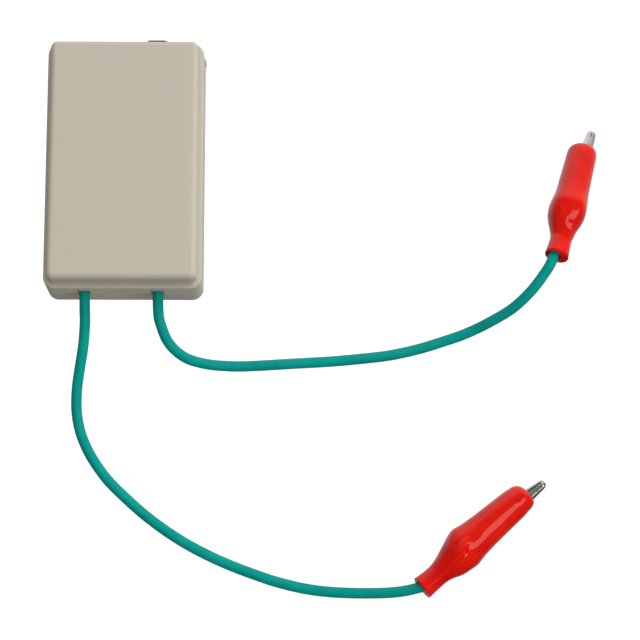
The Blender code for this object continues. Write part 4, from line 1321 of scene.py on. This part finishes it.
    def jaw(self, fixed: bool) -> bpy.types.Mesh:
        """Builds one stamped jaw with its teeth, ears and handle.

        Args:
            fixed: Whether it is the fixed jaw.

        Returns:
            The mesh, in the frame of the part.
        """
        side = -1 if fixed else 1
        stations = [(u * MM, 0.0) for u in self.tip_u]
        stations += [((self.teeth_u + self.teeth_step * k) * MM, self.teeth[k % len(self.teeth)] * MM)
                     for k in range(self.teeth_count)]
        stations += [(u * MM, 0.0) for u in self.back_u]
        skin = [self.section(u, self.half_width(u, fixed), self.rim(u) + side * tooth, self.depth(u), side)
                for u, tooth in stations]
        hollow = [self.section(u, self.half_width(u, fixed) - self.sheet, self.hollow_rim,
                               self.depth(u) - self.sheet, side) for u in (v * MM for v in self.hollow_u)]
        at, half, pivot = self.ear(fixed) - self.sheet / 2, self.ear_half, (0.0, 0.0)
        ears = Shape.join([Shape.drum(self.ear_radius, s * at - half, s * at + half, pivot) for s in (-1, 1)],
                          "ears")
        bore = Shape.drum(self.bore, -6.0 * MM, 6.0 * MM, pivot)
        across = Matrix.Translation((self.pivot_u, 0.0, 0.0)) @ Matrix.Rotation(math.pi / 2, 4, "X")
        for mesh in (ears, bore):
            mesh.transform(across)
        steps = [(Carve.CUT, Shape.skin(hollow)), (Carve.ADD, ears), (Carve.CUT, bore)]
        if fixed:
            steps += [(Carve.ADD, Shape.block(*self.crimp)), (Carve.CUT, Shape.block(*self.crimp_way))]
        else:
            steps.append((Carve.CUT, Shape.block(*self.groove, self.groove_corner, steps=3)))
        mesh = Shape.carve(Shape.skin(skin), steps)
        Shape.shade(mesh, self.jaw_sharp)
        return self.place(mesh)

    def share(self, u: float) -> float:
        """Returns how far along the boot's outline a place on the axis lies; the tail is 1."""
        return 1 + (u - self.tail) / self.span

    def middle(self, u: float, extra: float = 0.0) -> Span:
        """Returns how far the middle of the boot lies across and up from the axis.

        Args:
            u: Place along the clip.
            extra: How much further to the side.

        Returns:
            Both distances.
        """
        off = soft_ramp(self.share(u), self.drift, self.drift_blur) * MM + extra
        turn = math.radians(self.side)
        return off * math.cos(turn), off * math.sin(turn)

    def way_in(self, tail: Knots) -> list[Point]:
        """Returns the last route points of the lead, through the tail of the boot, in millimetres.

        Args:
            tail: Pairs of how far behind the boot's tail and how far off its middle, in millimetres.

        Returns:
            The points, from outside the boot to the crimp.
        """
        places = [(self.tail + back * MM, off * MM) for back, off in tail]
        points = [Vector((u, *self.middle(u, off))) for u, off in places]
        points.append(Vector((self.lead_end, 0.0, 0.0)))
        return [tuple(self.matrix @ point / MM) for point in points]

    def ring(self, u: float, high: float, wide: float, grow: float = 1.0, fold: float = 1.0,
             shift: float = 0.0) -> list[Point]:
        """Builds one section of the boot.

        Args:
            u: Its place along the clip.
            high: Its half size in the opening plane.
            wide: Its half size across it.
            grow: Share of the drift of its middle that it has.
            fold: Share of the soft ridges that it has.
            shift: How much further its middle lies to the side.

        Returns:
            Its points in the clip's frame.
        """
        share = self.share(u)
        across, up = self.middle(u, shift)
        square = soft_ramp(share, self.square, self.square_blur)
        flat = self.flat if grow == fold == 1.0 else None
        points = []
        for k in range(self.points):
            turn = 2 * math.pi * k / self.points
            radius = bulge(turn, square)
            lift = sum(ridge.lift(share, turn) for ridge in self.ridges) * fold * MM
            at = math.cos(turn) * (wide * radius + lift), math.sin(turn) * (high * radius + lift)
            if flat is not None:
                at = flat.trim(share, square, wide, high, at)
            points.append((u, across * grow + at[0], up * grow + at[1]))
        return points

    def size(self, u: float) -> Span:
        """Reads the outline of the boot.

        Args:
            u: Place along the clip.

        Returns:
            Its outer half sizes, in the opening plane and across it.
        """
        share = self.share(u)
        high, wide = soft_ramp(share, self.high, self.high_blur), soft_ramp(share, self.wide, self.wide_blur)
        return high * MM, wide * MM

    def boot(self) -> bpy.types.Mesh:
        """Builds the boot as a thin wall with a domed front and an open tail.

        Returns:
            The mesh, in the frame of the part.
        """
        start = self.front + self.dome
        full = self.size(start)
        rings = []
        for k in range(self.dome_steps + 1):
            turn = math.pi / 2 * k / self.dome_steps
            grow = math.sin(turn)
            high, wide = (self.opening + (size - self.opening) * grow for size in full)
            rings.append(self.ring(self.front + self.dome * (1 - math.cos(turn)), high, wide, grow, grow))
        reach, count = self.tail - self.lip_length - start, self.along_steps
        outer = [start + reach * (k + 1) / count for k in range(count)]
        rings += [self.ring(u, *self.size(u)) for u in outer]
        high, wide = self.size(self.tail)
        for along, inset in self.lip:
            part = max(inset - 0.4, 0.0) / 1.2
            rings.append(self.ring(self.tail - along * MM, high - inset * MM, wide - inset * MM, 1.0,
                                   1.0 - part, part * self.mouth))
        for u in reversed(outer[1::2]):
            high, wide = self.size(u)
            part = ramp(self.tail - u, ((self.tail_blend[0], 1.0), (self.tail_blend[1], 0.0)))
            wall = self.wall + self.tail_wall * part
            rings.append(self.ring(u, high - wall, wide - wall, 1.0, 1.0 - part, part * self.mouth))
        for along, grow in self.dome_inside:
            high, wide = (self.opening + (size - self.wall - self.opening) * grow for size in full)
            rings.append(self.ring(self.front + along * MM, high, wide, grow, grow))
        mesh = Shape.skin(rings, ring_closed=True)
        Shape.shade(mesh, self.boot_sharp)
        return self.place(mesh)

    def coil(self) -> bpy.types.Mesh:
        """Builds the torsion spring round the rivet, with an arm along each handle.

        Returns:
            The mesh, in the frame of the part.
        """
        tip = self.pivot_u + self.arm
        start = math.pi / 2 + math.atan2(self.arm_rise - self.coil_radius, self.arm)
        sweep = 2 * math.pi * self.coil_turns + 2 * (math.pi - start)
        count = 40 * self.coil_turns
        route = [Vector((tip, self.coil_half * 0.4, self.arm_rise))]
        for k in range(count + 1):
            turn = start + sweep * k / count
            route.append(Vector((self.pivot_u + self.coil_radius * math.cos(turn),
                                 self.coil_half - 2 * self.coil_half * k / count,
                                 self.coil_radius * math.sin(turn))))
        route.append(Vector((tip, -self.coil_half * 0.4, -self.arm_rise)))
        route[1:1] = [route[0].lerp(route[1], k / 6) for k in range(1, 6)]
        route[-1:-1] = [route[-2].lerp(route[-1], k / 6) for k in range(1, 6)]
        rings = []
        for i, point in enumerate(route):
            along = (route[min(i + 1, len(route) - 1)] - route[max(i - 1, 0)]).normalized()
            side = (Vector((0.0, 1.0, 0.0)) - along * along.y).normalized()
            rings.append(hoop(point, side, along.cross(side), self.wire, 10))
        mesh = Shape.skin(rings)
        Shape.shade(mesh, self.coil_sharp)
        return self.place(mesh)

    def named(self, *ends: str) -> tuple[str, ...]:
        """Returns the names of this clip's pieces and CAD nodes that have these endings."""
        return tuple(f"clip_{self.key}_{end}" for end in ends)

    def names(self) -> tuple[str, ...]:
        """Returns every piece and CAD node that goes with the lead."""
        return self.named("lower", "upper", "sleeve", "rivet", "coil", "core")

    def build(self, finishes: Finishes) -> None:
        """Builds and dresses the jaws, the boot and the spring.

        Args:
            finishes: The materials.
        """
        lower, upper, sleeve, _, spring, _ = self.names()
        add_piece(lower, self.jaw(True), Body.TESTER, Slot.NICKEL, finishes, self.named("fixed_jaw"))
        add_piece(upper, self.jaw(False), self.body, Slot.NICKEL, finishes, self.named("moving_jaw"))
        boot = add_piece(sleeve, self.boot(), Body.TESTER, Slot.BOOT, finishes, self.named("boot"),
                         ride=False)
        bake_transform(boot)
        coil = add_piece(spring, self.coil(), Body.TESTER, Slot.SPRING, finishes, self.named("spring"),
                         ride=False)
        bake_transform(coil)


class Insides:
    """CAD pieces that show as they are, dressed by slot."""

    def build(self, finishes: Finishes) -> None:
        """Puts a material on each CAD node that no piece replaces.

        Args:
            finishes: The materials.
        """
        slots = {entry["node"]: Slot(entry["material_slot"]) for entry in frame["record"]["subparts"]}
        for name, slot in slots.items():
            obj = bpy.data.objects.get(name)
            if obj is not None and obj.type == "MESH":
                finishes.dress(obj, slot)


@dataclass(frozen=True)
class SoftLight:
    """Rectangular light over the surface; glossy pieces show it only where it is mirrored."""

    name: str
    at: Point
    aim: Point
    size: Span
    watts: float
    mirrored: bool = False

    def hang(self) -> None:
        """Hangs the light."""
        data = bpy.data.lights.new(self.name, "AREA")
        data.shape = "RECTANGLE"
        data.size, data.size_y = self.size
        data.energy = self.watts
        obj = bpy.data.objects.new(self.name, data)
        obj.visible_glossy = self.mirrored
        turn = (Vector(self.aim) - Vector(self.at)).to_track_quat("-Z", "Y")
        obj.matrix_world = Matrix.Translation(self.at) @ turn.to_matrix().to_4x4()
        bpy.context.scene.collection.objects.link(obj)


@dataclass(frozen=True)
class Glow:
    """Soft glow of the room that grows towards one side.

    Its levels are the glow at the start and at the end of its reach, which is how far a direction
    leans to that side.
    """

    side: Point
    levels: Span
    reach: Span

    def build(self, tree: bpy.types.NodeTree, direction: bpy.types.NodeSocket) -> bpy.types.NodeSocket:
        """Adds the glow to a node tree.

        Args:
            tree: The tree of the room.
            direction: The direction that is looked in.

        Returns:
            How bright the room is there.
        """
        lean = tree.nodes.new("ShaderNodeVectorMath")
        lean.operation = "DOT_PRODUCT"
        lean.inputs[1].default_value = self.side
        level = tree.nodes.new("ShaderNodeMapRange")
        for name, value in zip(("From Min", "From Max", "To Min", "To Max"), (*self.reach, *self.levels)):
            level.inputs[name].default_value = value
        tree.links.new(direction, lean.inputs[0])
        tree.links.new(lean.outputs["Value"], level.inputs["Value"])
        return level.outputs["Result"]


@dataclass
class Studio:
    """White surface, soft lights and the camera."""

    lens: float = 131.468
    sensor: float = 36.0
    camera_at: Point = (0.05295, -0.20017, 0.73620)
    right: Point = (0.99992, 0.00034, 0.01301)
    up: Point = (-0.00299, 0.97891, 0.20425)
    toward: Point = (-0.01267, -0.20427, 0.97883)
    surface_half: float = 1.6
    surface_at: Point = (0.06, -0.04, -0.03 * MM)
    room: Glow = Glow((0.52, 0.50, 0.69), (0.0, 0.76), (-1.0, 1.0))
    sheen: Glow = Glow((0.0, 0.96, -0.29), (0.06, 0.5), (0.3, 0.68))
    rim: Glow = Glow((0.0, 0.75, -0.66), (0.0, 0.42), (0.0, 0.6))
    lights: tuple[SoftLight, ...] = (
        SoftLight("strip", (0.60, 0.0, 1.0), (0.12, -0.05, 0.0), (0.20, 0.85), 1.05, True),
        SoftLight("overhead", (0.35, 0.1, 1.0), (0.08, -0.05, 0.0), (0.6, 0.9), 1.9),
        SoftLight("key", (0.95, 0.55, 0.55), (0.05, 0.0, 0.0), (0.6, 0.8), 5.0),
        SoftLight("back", (0.1, 0.9, 0.7), (0.05, 0.0, 0.0), (0.9, 0.5), 2.0),
        SoftLight("front", (0.35, -0.95, 0.3), (0.05, 0.0, 0.0), (0.8, 0.5), 2.4),
    )

    def camera(self) -> None:
        """Sets the camera at the photograph's place."""
        data = bpy.data.cameras.new("camera")
        data.lens = self.lens
        data.sensor_width = self.sensor
        data.clip_start = 0.01
        data.clip_end = 20.0
        obj = bpy.data.objects.new("camera", data)
        place = Matrix((self.right, self.up, self.toward)).transposed().to_4x4()
        place.translation = self.camera_at
        obj.matrix_world = place
        bpy.context.scene.collection.objects.link(obj)
        bpy.context.scene.camera = obj
        bpy.context.scene.view_settings.view_transform = "Standard"

    def surface(self) -> None:
        """Lays the white surface under the tester."""
        bm = bmesh.new()
        bmesh.ops.create_grid(bm, x_segments=1, y_segments=1, size=self.surface_half)
        mesh = Shape.close(bm, "surface")
        mesh.transform(Matrix.Translation(self.surface_at))
        mesh.materials.append(Surface().build())
        obj = bpy.data.objects.new("surface", mesh)
        obj.visible_diffuse = False
        obj.visible_glossy = False
        bpy.context.scene.collection.objects.link(obj)

    def sky(self) -> None:
        """Sets the room's own soft light, and the dimmer room that glossy pieces mirror."""
        world = bpy.data.worlds.new("room")
        world.use_nodes = True
        tree = world.node_tree
        direction = tree.nodes.new("ShaderNodeTexCoord").outputs["Generated"]
        room, sheen, rim = (glow.build(tree, direction) for glow in (self.room, self.sheen, self.rim))
        mirrored = tree.nodes.new("ShaderNodeMath")
        mirrored.operation = "ADD"
        ray = tree.nodes.new("ShaderNodeLightPath")
        pick = tree.nodes.new("ShaderNodeMix")
        background = tree.nodes["Background"]
        background.inputs["Color"].default_value = (1.0, 1.0, 1.0, 1.0)
        for source, target in ((sheen, mirrored.inputs[0]), (rim, mirrored.inputs[1]),
                               (ray.outputs["Is Glossy Ray"], pick.inputs["Factor"]),
                               (room, pick.inputs["A"]), (mirrored.outputs[0], pick.inputs["B"]),
                               (pick.outputs["Result"], background.inputs["Strength"])):
            tree.links.new(source, target)
        bpy.context.scene.world = world

    def build(self) -> None:
        """Builds the whole setting."""
        self.camera()
        self.surface()
        self.sky()
        for light in self.lights:
            light.hang()


def clips() -> tuple[Clip, Clip]:
    """Returns the upper clip and the lower clip.

    Returns:
        The upper clip and the lower clip.
    """
    upper = Clip(
        "a", Body.JAW_A, heading=71.5, lift=15.5, front=6.9 * MM, tail=48.8 * MM, span=43.8 * MM,
        drift=((0.05, -1.05), (0.36, -0.4), (0.50, -0.05), (0.74, 0.0), (0.845, 0.74), (1.0, 0.98)),
        side=0.0, mouth=-0.85 * MM, flat=Flat(76.0, 0.50, 0.95),
        ridges=(Ridge(57.0, 0.0, 0.48, 0.97, 0.27, 14.0), Ridge(113.0, 0.0, 0.64, 0.76, 0.22, 8.0),
                Ridge(128.0, 10.0, 0.5, 0.85, 0.4, 18.0)))
    lower = Clip(
        "b", Body.JAW_B, heading=39.0, lift=2.75, front=6.6 * MM, tail=51.8 * MM, span=45.4 * MM,
        drift=((0.05, -0.8), (0.20, -0.6), (0.586, 0.03), (0.72, 1.05), (0.80, 1.05), (0.87, 1.42),
               (1.0, 1.5)),
        side=90.0, mouth=-0.5 * MM,
        ridges=(Ridge(147.0, -8.0, 0.0, 0.66, 0.42, 16.0), Ridge(186.0, 0.0, 0.54, 0.72, 0.6, 9.0),
                Ridge(172.0, 0.0, 0.68, 0.82, 0.5, 8.0), Ridge(157.0, 0.0, 0.62, 0.76, 0.45, 7.0),
                Ridge(158.0, 4.0, 0.76, 1.0, 0.5, 10.0)))
    return upper, lower


def leads(upper: Clip, lower: Clip) -> tuple[Lead, Lead]:
    """Routes the two leads over the surface.

    Args:
        upper: The clip at the end of the right lead.
        lower: The clip at the end of the left lead.

    Returns:
        The right lead and the left lead.
    """
    right = Lead("lead_to_clip_a", "lead_a", (
        (10.9, -33.4, 11.9), (10.9, -36.4, 11.5), (10.9, -38.9, 11.2), (10.9, -41.6, 11.2),
        (11.1, -46.4, 10.9), (11.7, -49.8, 10.3),
        (14.4, -55.9, 8.5), (19.5, -60.1, 6.1), (26.1, -61.75, 3.8), (33.0, -62.15, 2.3),
        (40.0, -62.05, 1.85), (54.1, -61.2, 1.85), (67.5, -60.35, 1.85), (81.5, -58.9, 1.85),
        (88.4, -57.7, 1.85), (95.3, -56.0, 1.9), (102.1, -53.9, 2.4), (108.7, -51.8, 3.8),
        (115.4, -49.05, 6.4), (122.3, -45.6, 10.1), (126.1, -42.8, 12.2), (129.6, -39.4, 13.9),
        (132.6, -35.6, 15.2),
        *upper.way_in(((3.0, -1.05), (-3.0, -0.8), (-6.4, -0.4)))), upper.names())
    left = Lead("lead_to_clip_b", "lead_b", (
        (-12.3, -33.4, 11.9), (-12.3, -36.4, 11.5), (-12.3, -38.9, 11.2), (-12.3, -41.6, 11.2),
        (-12.2, -46.4, 10.9), (-12.1, -49.9, 10.5),
        (-12.6, -56.7, 8.9), (-13.7, -63.3, 6.8), (-14.7, -69.9, 4.6), (-14.85, -76.7, 2.8),
        (-13.6, -83.4, 1.9), (-10.85, -89.85, 1.85), (-7.0, -95.8, 1.85), (-2.45, -101.1, 1.85),
        (7.9, -110.4, 1.85), (19.3, -118.3, 1.85), (31.7, -124.6, 1.85), (44.6, -129.5, 1.85),
        (51.8, -131.65, 1.9), (58.6, -133.15, 2.1), (65.4, -134.05, 2.8), (72.3, -134.5, 3.9),
        (79.0, -134.65, 5.3), (84.3, -134.55, 6.2), (88.9, -134.05, 6.8),
        *lower.way_in(((1.0, -0.95), (-2.8, 0.45), (-7.9, 0.1)))), lower.names())
    return right, left


def main() -> None:
    """Builds the scene in order."""
    logging.basicConfig(level=logging.INFO, format="%(message)s")
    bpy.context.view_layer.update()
    Studio().build()
    finishes = Finishes()
    both_clips = clips()
    for piece in (*both_clips, *leads(*both_clips), Case(), Socket(), Insides()):
        piece.build(finishes)


if __name__ == "__main__":
    main()
